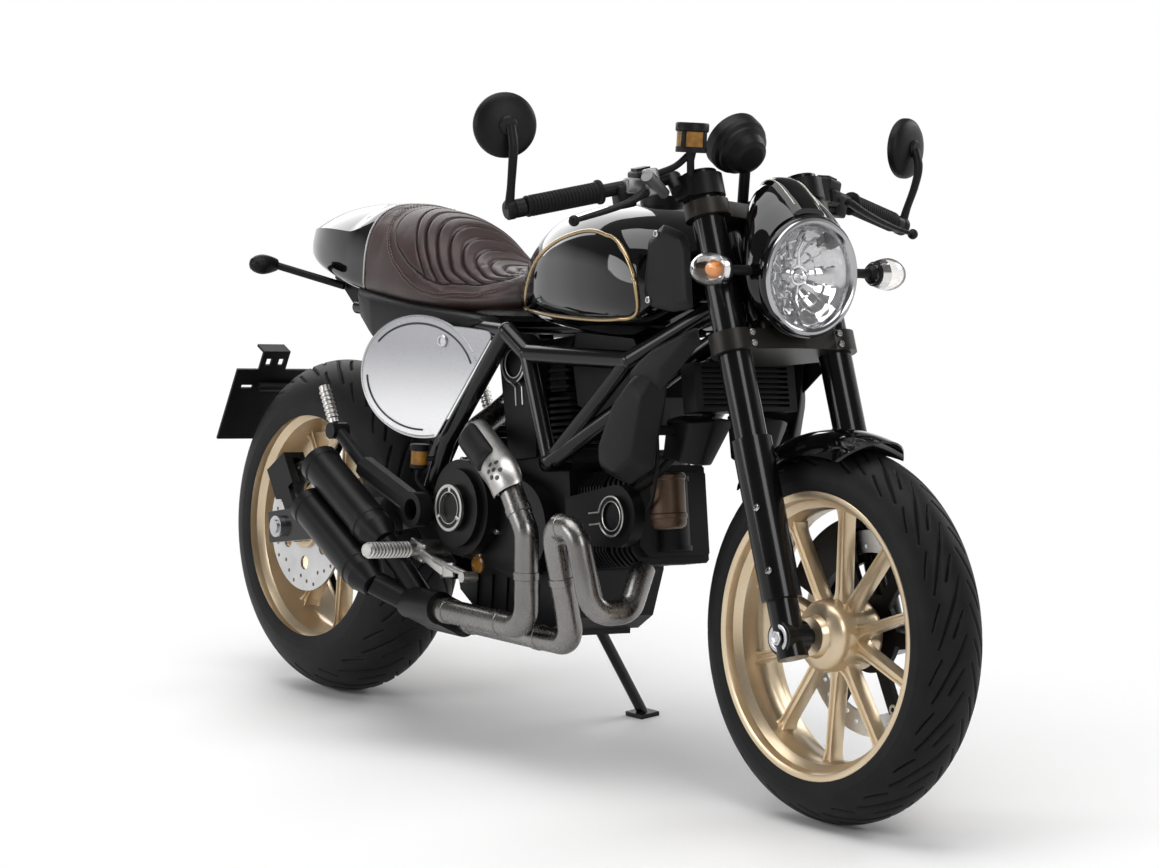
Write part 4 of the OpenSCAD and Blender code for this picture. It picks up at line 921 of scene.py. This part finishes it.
def tyre(name, radius, width, matrix, body, node, pitches, around, across):
    r = width / 2
    phi = np.concatenate([degrees(-101, -66, 12, False), degrees(-66, 66, across), degrees(66, 101, 13)[1:]])
    a = np.linspace(0, 2 * math.pi, around, endpoint=False)
    pitch = 2 * math.pi * radius / pitches
    uu, vv = np.meshgrid(a * radius, phi * r, indexing="ij")
    u = np.where(vv < 0, uu + pitch / 2, uu) % pitch
    lines = [[(s * pitch, v * width / 120, w) for s, v, w in line] for line in GROOVES]
    depth = groove_share(u, np.abs(vv), pitch, lines) * GROOVE_DEPTH
    rise = 0.8 * np.exp(-((np.abs(np.degrees(phi)) - 84) / 1.6) ** 2)[None, :]
    rr = r - depth + rise - 0.8
    rad = (radius - r) + rr * np.cos(phi)[None, :]
    p = np.stack([rad * np.cos(a)[:, None], rad * np.sin(a)[:, None], rr * np.sin(phi)[None, :]], -1)
    bead = np.stack([BEAD_RADIUS * np.cos(a), BEAD_RADIUS * np.sin(a), np.full(around, r - 5)], -1)[:, None]
    p = np.concatenate([bead * np.array([1, 1, -1]), p, bead], 1)
    nv = p.shape[1]
    faces = grid_faces(around, nv, wrap_u=True)
    ob = put(name, Parts((moved(p, matrix), faces)), body, "tyre", node=node, sharp=60)
    # The faces deeper than GROOVE_SHADE get the darker rubber: painted shade in the grooves
    ob.data.materials.append(TREAD_PAINTED_SHADE)
    deep = np.zeros((around, nv))
    deep[:, 1:-1] = depth
    low = deep.reshape(-1)[np.array(faces)].min(1) > GROOVE_SHADE
    ob.data.polygons.foreach_set("material_index", low.astype(np.int32))


tyre("front_tyre_tread", 300, 120, ON_FRONT_AXLE, "front_wheel", "front_tyre", 21, 882, 78)
tyre("rear_tyre_tread", 315, 180, ON_REAR_AXLE, "rear_wheel", "rear_tyre", 20, 800, 96)

# Machined rings and bolts on the engine covers
CLUTCH = to_right(-126, -127.9, 414)
ALTERNATOR = to_left(CRANK[0], 119.9, CRANK[1])
CLUTCH_RING = [(36, 49.6), (40.4, 49.6), (40.4, 46), (40.8, 46), (40.8, 51), (35.6, 51)]
CLUTCH_BORE = [(27, 41), (28.4, 41), (28.4, 50.4), (27, 50.4)]
BELT_LIFT = 32.6
BELT_LOOP = 33.0
BELT_INNER = 24.5
BELT_GAP = 17


def circle(r, centre, lift, angles):
    return np.stack([r * np.cos(angles), centre + r * np.sin(angles), np.full(len(angles), lift)], -1)


def bolt_circle(parts, m, count, first, r):
    for t in degrees(first, first + 360, count, False):
        parts.add(bolt(m @ shift(r * math.cos(t), r * math.sin(t), 0), 5, 6))


def engine_trim():
    trim, bolts = Parts(), Parts()
    for cylinder, reach in ((ON_FRONT_CYLINDER, 254), (ON_REAR_CYLINDER, 280)):
        m = cylinder @ to_right(0, -89, 0)
        loop = circle(BELT_LOOP, reach, BELT_LIFT, degrees(BELT_GAP - 90, 270 - BELT_GAP, 60))
        start = np.array([[9.6, reach - 72, BELT_LIFT - 9], [9.6, reach - 40, BELT_LIFT - 9]])
        dip = [0, -4, -4]
        route = np.vstack([start, loop[:1] + dip, loop, loop[-1:] + dip, start[::-1] * np.array([-1, 1, 1])])
        trim.add(sweep(moved(route, m), 1.7, 8))
        inner = circle(BELT_INNER, reach, BELT_LIFT - 0.8, degrees(0, 360, 60, False))
        trim.add(sweep(moved(inner, m), 1.2, 8, closed=True))
    trim.add(revolve(CLUTCH_RING, 64, CLUTCH)).add(revolve(CLUTCH_BORE, 64, CLUTCH))
    for t in np.radians((90, 210, 330)):
        bar = [(r * math.cos(t), r * math.sin(t), 49.0) for r in (27.5, 37)]
        trim.add(sweep(moved(bar, CLUTCH), [3.2, 3.8], 10))
    put("engine_cover_rings", trim, "chassis", "bare_aluminium")
    bolt_circle(bolts, CLUTCH, 8, 22, 87)
    bolt_circle(bolts, ALTERNATOR, 7, 15, 85)
    put("engine_cover_bolts", bolts, "chassis", "steel")


engine_trim()

# Blank side boards: oval plate cut by the frame tube, painted stripes, rolled edge and lock
ON_BOARD = shift(-200, 176, 635) @ turn(0, 0, -12)
BOARD_CENTRE = -26.0
BOARD_OVAL = (146.0, 108.0)
BOARD_CORNERS = [(22, -98), (138, 78), (139, 84), (134, 90), (124, 91.5), (84, 93)]
BOARD_LAYERS = ((0, 0.0), (0, 2.2), (1.2, 3.0))
BOARD_POSTS = ((-230, 731.8, 138.6, 184.4), (-285, 724, 134.2, 196))
LOCK = [(AXIS, 2), (11, 2), (11, 6), (9.5, 7.5), (7, 7.5), (6.5, 5), (AXIS, 5)]


def board_arc(a0, a1, n, wide, high, depth):
    a = degrees(a0, a1, n)
    return np.stack([BOARD_CENTRE + wide * np.cos(a), np.full(n, depth), high * np.sin(a)], -1)


def boards():
    stripes, bead = Parts(), Parts()
    edge = np.vstack([board_arc(60, 287, 80, *BOARD_OVAL, 0)[:, ::2], BOARD_CORNERS])
    rows = []
    for inset, depth in BOARD_LAYERS:
        ring = edge + (np.array([-20.0, 0.0]) - edge) * inset / 120
        rows.append(np.stack([ring[:, 0], np.full(len(edge), depth), ring[:, 1]], -1))
    points, faces = capped(rows)
    plate = Parts().both((moved(points, ON_BOARD), faces))
    put("board_plates", plate, "chassis", "board_silver", node="number_boards", sharp=12)
    for x, z, y0, y1 in BOARD_POSTS:
        bead.both(sweep([(x, y0, z), (x, y1, z)], 6, 16))
    for a0, a1 in ((20, 144), (184, 276)):
        stripes.both(sweep(moved(board_arc(a0, a1, 50, 129, 93, 3.2), ON_BOARD), 1.9, 6))
    bead.both(sweep(moved(board_arc(20, 287, 90, 142.4, 104.4, 2.6), ON_BOARD), 2.0, 8))
    put("board_border_stripes", stripes, "chassis", "matte_black", DARK_PAINT_AND_HOLE_SHADE)
    put("board_bead", bead, "chassis", "steel")
    put("board_lock", Parts().both(revolve(LOCK, 28, ON_BOARD @ to_left(26, 0, 66))), "chassis", "steel")


boards()

# Pinch bolts of the lower fork clamp
clamp_bolts = Parts()
for side in (-1, 1):
    for height in (472, 490):
        clamp_bolts.add(bolt(ON_FORK @ shift(34, side * 91, height) @ turn(0, 90, 0), 5.5, 5))
put("clamp_bolts", clamp_bolts, "steering", "steel")

# Shrouds beside the cooler and the covers beside the steering head
SHROUD_NEAR = [(256, 567), (301, 645), (346, 690), (405, 723), (428, 728), (424, 640), (400, 532), (341, 498),
               (266, 515)]
SHROUD_FAR = [(292, 560), (324, 632), (368, 674), (398, 640), (384, 550), (338, 522), (294, 530)]
WING_NEAR = [(330, 672), (400, 734), (508, 774), (520, 746), (470, 700), (410, 650)]
WING_FAR = [(358, 690), (410, 724), (496, 758), (494, 746), (436, 696)]
FUNNEL = [(378, 104, 612), (440, 104, 612), (464, 72, 618), (460, 26, 618), (372, 26, 618), (372, 72, 618),
          (364, 98, 547), (412, 98, 545), (436, 74, 541), (430, 46, 541), (364, 46, 543)]
SHROUD_POSTS = ((340, 679, 96, 146, 8.8), (392, 596, 98, 143, 8))
COVER_NEAR = [(346, 812), (352, 905), (392, 932), (450, 920), (464, 902), (482, 796), (430, 788), (372, 792)]
COVER_FAR = [(360, 824), (366, 894), (398, 918), (442, 908), (452, 894), (468, 808), (430, 800), (380, 806)]
UNDER_SEAT = [(-552, 112, 774), (-530, 116, 722), (-450, 140, 688), (-340, 148, 694), (-140, 150, 722),
              (-100, 148, 738), (-110, 142, 748), (-300, 144, 750), (-480, 130, 756)]


def shrouds():
    skin, bolts = Parts(), Parts()
    skin.both(moulded(slab(SHROUD_NEAR, 140, SHROUD_FAR, 176), 7, 4))
    skin.both(moulded(slab(WING_NEAR, 151, WING_FAR, 169), 5, 4))
    skin.both(moulded(FUNNEL, 4, 4))
    for x, z, y0, y1, r in SHROUD_POSTS:
        skin.both(sweep([(x, y0, z), (x, y1, z)], r, 20))
    put("shroud_panels", skin, "chassis", "matte_black", node="side_shrouds")
    cover = Parts().both(moulded(slab(COVER_NEAR, 140.6, COVER_FAR, 149), 4, 4))
    put("steering_head_covers", cover, "chassis", "matte_black")
    under = Parts().both(moulded(UNDER_SEAT + [(x, 100, z) for x, y, z in UNDER_SEAT], 6, 3))
    put("under_seat_panels", under, "chassis", "matte_black")
    for x, z in ((372, 806), (384, 914)):
        bolts.both(bolt(to_left(x, 147, z), 6, 5))
    put("cover_bolts", bolts, "chassis", "steel")


shrouds()

# Wheels: lipped rim, waisted hub and ten ribbed spokes in five pairs
RIM_RADIUS = 229.0
RIM_EDGE = [(-0.2, 0), (-2, 1.4), (-8, 1.4), (-12, -0.5), (-14, -6), (-15, -13), (-22, -21), (-26, -24)]
RIM_WELL = [(-27, 16), (-30, 11)]
SPOKE_TOP = [(1, 0.72), (0.86, 1), (0.5, 1), (0.3, 0.74), (-0.3, 0.74), (-0.5, 1), (-0.86, 1), (-1, 0.72)]
SPOKE_RING = SPOKE_TOP + [(s, -t) for s, t in SPOKE_TOP[::-1]]
SPOKE_NEAR = math.radians(11.9)
SPOKE_FAR = math.radians(18)
SPOKE_WIDTH = (9.0, 7.4)
FRONT_HUB = [(12.6, 62), (30, 62), (32, 59), (35, 52), (50, 46), (56, 38), (58, 28), (57, 8)]
REAR_HUB = [(12.6, 100), (40, 100), (42, 98), (42, 44), (50, 36), (53, 12)]


def spoke(r0, r1, a0, a1, depth):
    a = r0 * np.array([math.cos(a0), math.sin(a0)])
    b = r1 * np.array([math.cos(a1), math.sin(a1)])
    side = unit([-(b - a)[1], (b - a)[0]])
    rows = []
    for u in np.linspace(0, 1, 20):
        flare = 1 + 0.9 * max(0, 1 - u / 0.16) ** 2 + 0.9 * max(0, (u - 0.84) / 0.16) ** 2
        c = a + (b - a) * u
        w = (SPOKE_WIDTH[0] + (SPOKE_WIDTH[1] - SPOKE_WIDTH[0]) * u) * flare
        d = depth * (1 + 0.25 * (flare - 1))
        rows.append([(*(c + side * s * w), t * d) for s, t in SPOKE_RING])
    return capped(rows)


def wheel(name, half, hub, spoke_half, matrix, body, node):
    edge = [(RIM_RADIUS + r, half + h) for r, h in RIM_EDGE] + [(RIM_RADIUS + r, h) for r, h in RIM_WELL]
    parts = Parts()
    for outline, n in ((edge, 144), (hub, 96)):
        parts.add(revolve(outline + [(r, -h) for r, h in outline[::-1]], n, matrix))
    inner = max(hub)[0] - 8
    for middle in degrees(0, 360, 5, False):
        for s in (-1, 1):
            near, far = middle + s * SPOKE_NEAR, middle + s * SPOKE_FAR
            p, faces = spoke(inner, RIM_RADIUS - 24, near, far, spoke_half)
            parts.add((moved(p, matrix), faces))
    put(name, parts, body, "wheel_gold", node=node, sharp=32)


wheel("front_wheel_casting", 57, FRONT_HUB, 12.5, ON_FRONT_AXLE, "front_wheel", "front_rim")
wheel("rear_wheel_casting", 82, REAR_HUB, 15, ON_REAR_AXLE, "rear_wheel", "rear_rim")

# Six-armed carrier of the front disc, with its floating pins and bolts
CARRIER_REACH = 134.0
CARRIER_ARM = 11.6
CARRIER_HUB = 62.6
CARRIER_BORE = 23.6
CARRIER_SIDES = (61.8, 71.4)
DISC_PIN = [(4, 61), (8, 61), (9, 62), (9, 72), (8, 73), (4, 73)]


def disc_carrier():
    n = 480
    a = np.linspace(0, 2 * math.pi, n, endpoint=False)
    arm = np.abs((a + math.pi / 6) % (math.pi / 3) - math.pi / 6)
    reach = np.minimum(CARRIER_REACH / np.cos(arm), CARRIER_ARM / np.maximum(np.sin(arm), 1e-6))
    reach = np.maximum(reach, CARRIER_HUB)
    bore = np.full(n, CARRIER_BORE)
    low, high = CARRIER_SIDES
    section = [np.stack([r * np.cos(a), r * np.sin(a), np.full(n, h)], -1)
               for r, h in ((reach, low), (reach, high), (bore, high), (bore, low))]
    dark = Parts((moved(np.stack(section, 1), ON_FRONT_AXLE), grid_faces(n, 4, wrap_u=True)))
    put("front_disc_carrier", dark, "front_wheel", "matte_black", sharp=30)
    pins = Parts()
    for t in degrees(0, 360, 6, False):
        pins.add(revolve(DISC_PIN, 24, ON_FRONT_AXLE @ shift(130 * math.cos(t), 130 * math.sin(t), 0)))
        for s in (-0.3, 0.3):
            pins.add(bolt(ON_FRONT_AXLE @ shift(44 * math.cos(t + s), 44 * math.sin(t + s), 71), 5, 5))
    put("front_disc_pins", pins, "front_wheel", "bare_aluminium")


disc_carrier()

# Heat guard on the rear header: aluminium shell under a black pad, with seven dark discs on it as painted shade
# for its holes
GUARD_WIDTH = 1.24
GUARD_STEP = 3.0
GUARD_TOP = 28.2
GUARD_UNDER = 25.4
GUARD_OUT = np.array([0.1, -1.0, 0.42])
GUARD_TURN = math.radians(14.5)
GUARD_SPAN = (12.0, 184.0)
HOLE_RING = 12.5
HOLE_RADIUS = 4.3
PAD_TO = 0.66
HOLES_AT = 0.83


def heat_guard():
    route = rounded(REAR_ROUTE, REAR_BEND)
    length = np.concatenate([[0], np.cumsum(np.linalg.norm(np.diff(route, axis=0), axis=1))])
    dense = np.arange(0, length[-1], GUARD_STEP)
    way = np.stack([np.interp(dense, length, route[:, i]) for i in range(3)], -1)
    from_bend = way - np.array(REAR_ROUTE[2])
    reach = from_bend[:, 0] * math.cos(GUARD_TURN) - from_bend[:, 1] * math.sin(GUARD_TURN)
    inside = (reach > GUARD_SPAN[0]) & (reach < GUARD_SPAN[1]) & (way[:, 2] > 420) & (way[:, 1] < -146)
    inside = np.nonzero(inside)[0]
    way = way[inside[0]:inside[-1] + 1]
    count = len(way)
    ahead = np.gradient(way, axis=0)
    ahead /= np.linalg.norm(ahead, axis=1, keepdims=True)
    out = GUARD_OUT - ahead * (ahead @ GUARD_OUT)[:, None]
    out /= np.linalg.norm(out, axis=1, keepdims=True)
    across = np.cross(ahead, out)

    def at(i, angle, r):
        return way[i] + r * (math.cos(angle) * out[i] + GUARD_WIDTH * math.sin(angle) * across[i])

    def shell(first, last, spread_deg, low, high, lean=0.0):
        angles = np.radians(np.linspace(-spread_deg, spread_deg, 25))
        tilt = math.radians(lean)
        rows = []
        for i in range(first, last):
            u = (i - first) / (last - first - 1)
            close = max(0.0, 1 - abs(2 * u - 1) ** 8) ** 0.5
            crown = [high - (high - low - 1.2) * max(abs(a / angles[-1]) ** 6, 1 - close) for a in angles]
            turned = tilt + angles * (0.7 + 0.3 * close)
            rows.append([at(i, a, r) for a, r in zip(turned, crown)] + [at(i, a, low) for a in turned[::-1]])
        return Parts(capped(rows))

    metal = shell(0, count, 88, GUARD_UNDER, GUARD_TOP)
    put("heat_guard_shell", metal, "chassis", "bare_aluminium", node="heat_shield")
    put("heat_guard_pad", shell(2, int(count * PAD_TO), 42, 27.6, 33.5, 7.0), "chassis", "matte_black")
    # Thin dark discs on the shell stand in for the seven holes: painted shade
    hole_shade = Parts()
    spots = [(HOLE_RING * math.cos(t), HOLE_RING * math.sin(t)) for t in degrees(0, 360, 6, False)] + [(0, 0)]
    for step, aside in spots:
        i = min(int(count * HOLES_AT) + round(step / GUARD_STEP), count - 1)
        angle = aside / (GUARD_TOP * GUARD_WIDTH)
        spot = at(i, angle, GUARD_TOP)
        m = facing(spot, at(i, angle, GUARD_TOP + 1) - spot)
        hole_shade.add(knob([(HOLE_RADIUS, -1), (HOLE_RADIUS, 0.25)], 20, m))
    put("heat_guard_hole_shade_discs", hole_shade, "chassis", "matte_black", DARK_PAINT_AND_HOLE_SHADE)


heat_guard()

# Bar controls: reservoir, master cylinder, switch boxes, levers, ribbed grips and mirrors
BAR_IN = np.array([408.0, 140.0, 1006.0])
BAR_OUT = np.array([348.0, 392.0, 947.0])
RESERVOIR = (451, -140, 1047)
CUP = [(21, 1), (24, 4), (24.4, 9), (24.4, 34)]
CUP_CAP = [(AXIS, 33), (25.4, 33), (27, 35), (27, 45.5), (25.5, 47.6), (20, 47.9), (18, 46.4), (AXIS, 46.4)]
CUP_BASE = [(20, 0), (25.2, 0), (25.2, 9), (20, 9)]
CUP_STEM = [(440, -132, 992), (449, -137, 1014), (451, -140, 1034), (451, -140, 1049)]
CUP_HOSE = [RESERVOIR, (438, -160, 1024), (424, -186, 1010), (420, -200, 1000)]
BLADE = [(432, 214, 980), (436, 246, 964), (434, 288, 949), (434, 326, 938), (438, 354, 931)]
BLADE_BALL = 9.0
GRIP_START = [(11.2, 132), (11.2, 0), (19, 0), (20, 2), (20, 6), (17, 8)]
GRIP_RIB = [(17.2, 0), (17.2, 3.4), (16.1, 4), (16.1, 5.4)]
GRIP_END = [(17.2, 127), (17.2, 130), (15.5, 132)]


def bar_at(y):
    return BAR_IN + (BAR_OUT - BAR_IN) * (y - BAR_IN[1]) / (BAR_OUT[1] - BAR_IN[1])


def bar_right(y):
    return bar_at(y) * np.array([1, -1, 1])


def on_bar(y):
    return facing(bar_at(y), BAR_OUT - BAR_IN)


def bar_controls():
    cap, dark, bright, rubber = Parts(), Parts(), Parts(), Parts()
    at = shift(*RESERVOIR)
    cap.add(revolve(CUP_CAP, 40, at)).add(revolve(CUP_BASE, 40, at))
    for k in range(4):
        cap.add(brick(5, 9, 28, 1.2, 2, at @ turn(0, 0, 20 + 90 * k) @ shift(23.4, 0, 21)))
    cap.add(sweep(CUP_STEM, [8, 7, 7, 10], 16, flat=0.7))
    put("reservoir_cup", Parts(knob(CUP, 40, at)), "steering", "fluid_amber", node="brake_reservoir")
    put("reservoir_cap", cap, "steering", "matte_black")
    bright.add(brick(26, 24, 44, 6, 3, shift(*(bar_right(196) + [30, 0, 4])) @ turn(0, -14, 66)))
    bright.add(brick(22, 40, 26, 5, 3, shift(*(bar_right(212) + [14, 0, 0])) @ turn(0, 0, -14)))
    bright.add(sweep(moved([(0, 0, -26), (0, 0, 30)], shift(438, -196, 992) @ turn(60, 0, 14)), [9, 11], 20))
    put("master_cylinder", bright, "steering", "bare_aluminium", CAST_GREY)
    dark.both(brick(46, 44, 40, 6, 3, on_bar(188)))
    dark.both(brick(16, 22, 24, 4, 3, on_bar(188) @ shift(-24, -8, 0)))
    dark.both(knob([(7, 18), (7, 26), (5.5, 28)], 20, on_bar(186) @ turn(0, -90, 0)))
    dark.both(brick(34, 38, 30, 5, 3, on_bar(226) @ shift(0, -14, 0)))
    dark.both(tapered(BLADE, 28, [0, 0.2, 0.9, 1], [11, 9, 6.5, 6]))
    ball = [(BLADE_BALL * math.sin(t), -BLADE_BALL * math.cos(t)) for t in np.linspace(0.01, 3.13, 14)]
    dark.both(revolve(ball, 20, shift(438, 356, 930.5)))
    put("bar_switches_and_levers", dark, "steering", "matte_black", node="levers")
    ribs = [(r, 11 + 6 * i + h) for i in range(19) for r, h in GRIP_RIB]
    rubber.add(sweep(spline(CUP_HOSE, 20), 5.5, 12))
    rubber.both(revolve(GRIP_START + ribs + GRIP_END, 40, on_bar(262)))
    put("ribbed_grips", rubber, "steering", "rubber", node="grips")


bar_controls()

ON_MIRROR = shift(336, 424, 1075) @ turn(0, 90, 18)
MIRROR_BACK = [(AXIS, -8), (48, -8), (49, -10), (51.4, -10), (52, -8), (52, -2), (50.6, 2), (46, 6), (38, 9.4),
               (26, 12), (12, 13.4), (AXIS, 13.8)]
MIRROR_HUB = [(AXIS, 10), (15, 10), (15, 16), (12, 19), (AXIS, 19.6)]
MIRROR_ARM = [(344, 415, 944), (350, 418, 972), (360, 424, 1010), (364, 427, 1044), (354, 426, 1074)]


def mirrors():
    shell = Parts().both(revolve(MIRROR_BACK, 72, ON_MIRROR)).both(revolve(MIRROR_HUB, 32, ON_MIRROR))
    shell.both(tapered(MIRROR_ARM, 30, [0, 0.3, 1], [9, 7.4, 9], flat=0.7))
    shell.both(knob([(15, 0), (16, 2), (16, 12), (13, 15)], 32, on_bar(406)))
    put("mirror_shells", shell, "steering", "matte_black", node="mirrors")
    disc = Parts().both(knob([(48, -8.6), (48, -9.6)], 64, ON_MIRROR))
    put("mirror_glass", disc, "steering", "lamp_glass", CHROME)


mirrors()

# Foot pegs with teeth and brackets, rear fluid cup, axle rings, sight glass, oil lines and the head cover
PEG_BRACKETS = ((46, 12, 34, 4, (-212, 178, 330), (0, 12, 0)), (74, 9, 18, 3, (-158, 184, 316), (0, 20, -4)),
                (30, 10, 26, 4, (-104, 186, 308), (0, -8, -4)))
REAR_CUP = (-238, -168, 470)
REAR_CUP_BODY = [(14, 4), (15, 7), (15, 34)]
REAR_CUP_LID = [(16.5, 33), (17, 35), (17, 43), (15, 45)]
REAR_CUP_BASE = [(10, 0), (15.6, 3), (15.6, 9)]
REAR_CUP_STAY = [(-212, -146, 492), (-226, -158, 490), (-238, -166, 488)]
REAR_HOSE = [(-238, -168, 472), (-244, -166, 452), (-232, -160, 436), (-222, -150, 420)]
ON_AXLE_END = to_left(FRONT[0], 126, FRONT[1])
AXLE_RING = [(15, 0), (22, 0), (22, 2.4), (20.6, 3), (16.4, 3), (15, 2.4)]
AXLE_NUT = [(AXIS, 3.6), (12, 3.6), (12, 6.4), (9, 7), (7, 4), (AXIS, 4)]
SIGHT_GLASS = [(AXIS, 0), (17, 0), (17, 4), (13, 6), (12, 3.4), (AXIS, 3.4)]
OIL_LINES = (([(424, -46, 632), (400, -66, 588), (372, -92, 540), (330, -98, 506), (272, -80, 482)], 7.5, 14),
             ([(346, -100, 640), (364, -112, 596), (370, -112, 540), (352, -104, 480), (318, -90, 452)], 3.6, 10))
HEAD_COVER = [(20, -46), (26, -43), (29, -37), (29, -30), (31, -28), (31, -22), (29, -20), (29, 34), (31, 36),
              (31, 42), (27, 46)]
TOOTH_STEP = 8.5


def toothed(start, end, low, high, first):
    axis = np.array(end, float) - np.array(start, float)
    span = np.linalg.norm(axis)
    profile = [(low - 1.5, span), (low - 1.5, first)]
    h = first
    while h + 8 < span:
        profile += [(low, h), (high, h + 2), (high, h + 4.6), (low, h + 6.6)]
        h += TOOTH_STEP
    return revolve(profile + [(low + 0.5, span)], 16, facing(start, axis))


def fittings():
    teeth = Parts().both(toothed((-215, 165, 331), (-184, 306, 336), 11.3, 14.5, 40))
    teeth.both(toothed((-506.1, 176, 528.3), (-543, 178, 592), 9.2, 11.4, 8))
    for x, y, z, offset, middle, turned in PEG_BRACKETS:
        teeth.both(brick(x, y, z, offset, 3, shift(*middle) @ turn(*turned)))
    put("peg_teeth", teeth, "chassis", "bare_aluminium", sharp=25)
    at = shift(*REAR_CUP)
    put("rear_fluid_cup", Parts(knob(REAR_CUP_BODY, 32, at)), "chassis", "fluid_amber")
    dark = Parts(knob(REAR_CUP_LID, 32, at), knob(REAR_CUP_BASE, 32, at), sweep(REAR_CUP_STAY, 5, 12))
    dark.add(sweep(spline(REAR_HOSE, 18), 4.5, 12))
    put("rear_fluid_cap", dark, "chassis", "matte_black")
    ring = Parts().both(revolve(AXLE_RING, 48, ON_AXLE_END)).both(revolve(AXLE_NUT, 6, ON_AXLE_END))
    for h in (104, 206):
        ring.both(bolt(ON_FORK @ shift(16, 105 + 28.4, h) @ turn(-60, 0, 0), 6, 4))
    put("axle_rings", ring, "steering", "steel")
    sight = Parts(revolve(SIGHT_GLASS, 40, to_right(-98, -127.5, 318)))
    put("oil_sight_glass", sight, "chassis", "fluid_amber")
    lines = Parts(*(sweep(spline(route, 40), r, m) for route, r, m in OIL_LINES))
    put("oil_lines", lines, "chassis", "rubber")
    cover = knob(HEAD_COVER, 48, shift(346, -66, 474) @ turn(0, -10, 0))
    put("head_end_cover", Parts(cover), "chassis", "clamp_dark", BRONZE)


fittings()

# Studio: pale floor that runs into white, soft lamps and a plain bright surround
FLOOR_HALF = 30.0
# Columns: name, place, aim, width, height, power
LAMPS = [("top_softbox", (0.2, -0.3, 3.4), (0.0, 0.0, 0.6), 3.4, 2.2, 78),
         ("front_softbox", (3.2, -0.6, 2.3), (0.2, 0.0, 0.7), 1.1, 1.6, 30),
         ("rear_softbox", (-3.4, 1.0, 2.5), (-0.6, 0.0, 0.85), 3.0, 2.4, 60),
         ("side_softbox", (-1.2, -3.6, 2.0), (0.0, 0.0, 0.6), 2.4, 1.2, 42),
         ("far_softbox", (0.6, 3.6, 2.2), (0.0, 0.0, 0.6), 2.4, 1.2, 40)]


def combined(tree, operation, one, other):
    node = tree.nodes.new("ShaderNodeMath")
    node.operation = operation
    tree.links.new(one, node.inputs[0])
    tree.links.new(other, node.inputs[1])
    return node.outputs["Value"]


def studio_floor():
    me = bpy.data.meshes.new("studio_floor")
    s = FLOOR_HALF
    me.from_pydata([(-s, -s, 0), (s, -s, 0), (s, s, 0), (-s, s, 0)], [], [(0, 1, 2, 3)])
    floor = bpy.data.objects.new("studio_floor", me)
    scene.collection.objects.link(floor)
    mat, tree, bsdf = new_material("studio_floor_look")
    fill(bsdf, Base_Color=(0.93, 0.93, 0.93, 1), Roughness=0.7, Specular_IOR_Level=0.1)
    length = tree.nodes.new("ShaderNodeVectorMath")
    length.operation = "LENGTH"
    tree.links.new(place(tree, (0.72, 1.2, 1.0)), length.inputs[0])
    far = fade_in(tree, length.outputs["Value"], 0.7, 1.5)
    ray = tree.nodes.new("ShaderNodeLightPath").outputs
    seen = combined(tree, "MAXIMUM", ray["Is Camera Ray"], ray["Is Glossy Ray"])
    seen = combined(tree, "MAXIMUM", seen, ray["Is Transmission Ray"])
    mix = tree.nodes.new("ShaderNodeMixShader")
    tree.links.new(combined(tree, "MULTIPLY", seen, far), mix.inputs["Fac"])
    tree.links.new(bsdf.outputs["BSDF"], mix.inputs[1])
    tree.links.new(tree.nodes.new("ShaderNodeEmission").outputs["Emission"], mix.inputs[2])
    tree.links.new(mix.outputs["Shader"], tree.nodes["Material Output"].inputs["Surface"])
    me.materials.append(mat)


def surround():
    world = bpy.data.worlds.new("studio_world")
    scene.world = world
    world.use_nodes = True
    tree = world.node_tree
    split = new_node(tree, "SeparateXYZ")
    tree.links.new(new_node(tree, "TexCoord").outputs["Generated"], split.inputs["Vector"])
    ramp = tree.nodes.new("ShaderNodeValToRGB")
    for stop, position, tone in zip(ramp.color_ramp.elements, (0.09, 0.34), (1, 0.16)):
        stop.position = position
        stop.color = (tone, tone, tone, 1)
    tree.links.new(split.outputs["Z"], ramp.inputs["Fac"])
    tree.links.new(ramp.outputs["Color"], tree.nodes["Background"].inputs["Color"])
    fill(tree.nodes["Background"], Strength=1.0)


def lamps():
    for name, spot, aim, wide, high, power in LAMPS:
        data = bpy.data.lights.new(name, "AREA")
        data.shape = "RECTANGLE"
        data.size = wide
        data.size_y = high
        data.energy = power
        lamp = bpy.data.objects.new(name, data)
        scene.collection.objects.link(lamp)
        lamp.location = spot
        lamp.rotation_euler = (Vector(aim) - Vector(spot)).to_track_quat("-Z", "Y").to_euler()


studio_floor()
surround()
lamps()

# Camera at the photograph's viewing angle
CAMERA_ANGLES = (53.21, 4.31, 2.92)
CAMERA_TARGET = Vector((0.006, 0.0, 0.554))
CAMERA_DISTANCE = 6.154
FOCAL_PX = 3550.2
PHOTO_WIDTH = 1160.0
SENSOR = 36.0


def camera():
    az, el, roll = (math.radians(v) for v in CAMERA_ANGLES)
    back = Vector((math.sin(az) * math.cos(el), -math.cos(az) * math.cos(el), math.sin(el)))
    right = Vector((0, 0, 1)).cross(back).normalized()
    up = back.cross(right)
    x_axis = right * math.cos(roll) + up * math.sin(roll)
    y_axis = up * math.cos(roll) - right * math.sin(roll)
    m = Matrix((x_axis, y_axis, back)).transposed().to_4x4()
    m.translation = CAMERA_TARGET + back * CAMERA_DISTANCE
    data = bpy.data.cameras.new("photo_camera")
    data.sensor_width = SENSOR
    data.lens = SENSOR * FOCAL_PX / PHOTO_WIDTH
    data.clip_end = 200.0
    ob = bpy.data.objects.new("photo_camera", data)
    scene.collection.objects.link(ob)
    ob.matrix_world = PARK @ m
    scene.camera = ob


camera()
scene.view_settings.view_transform = "Standard"
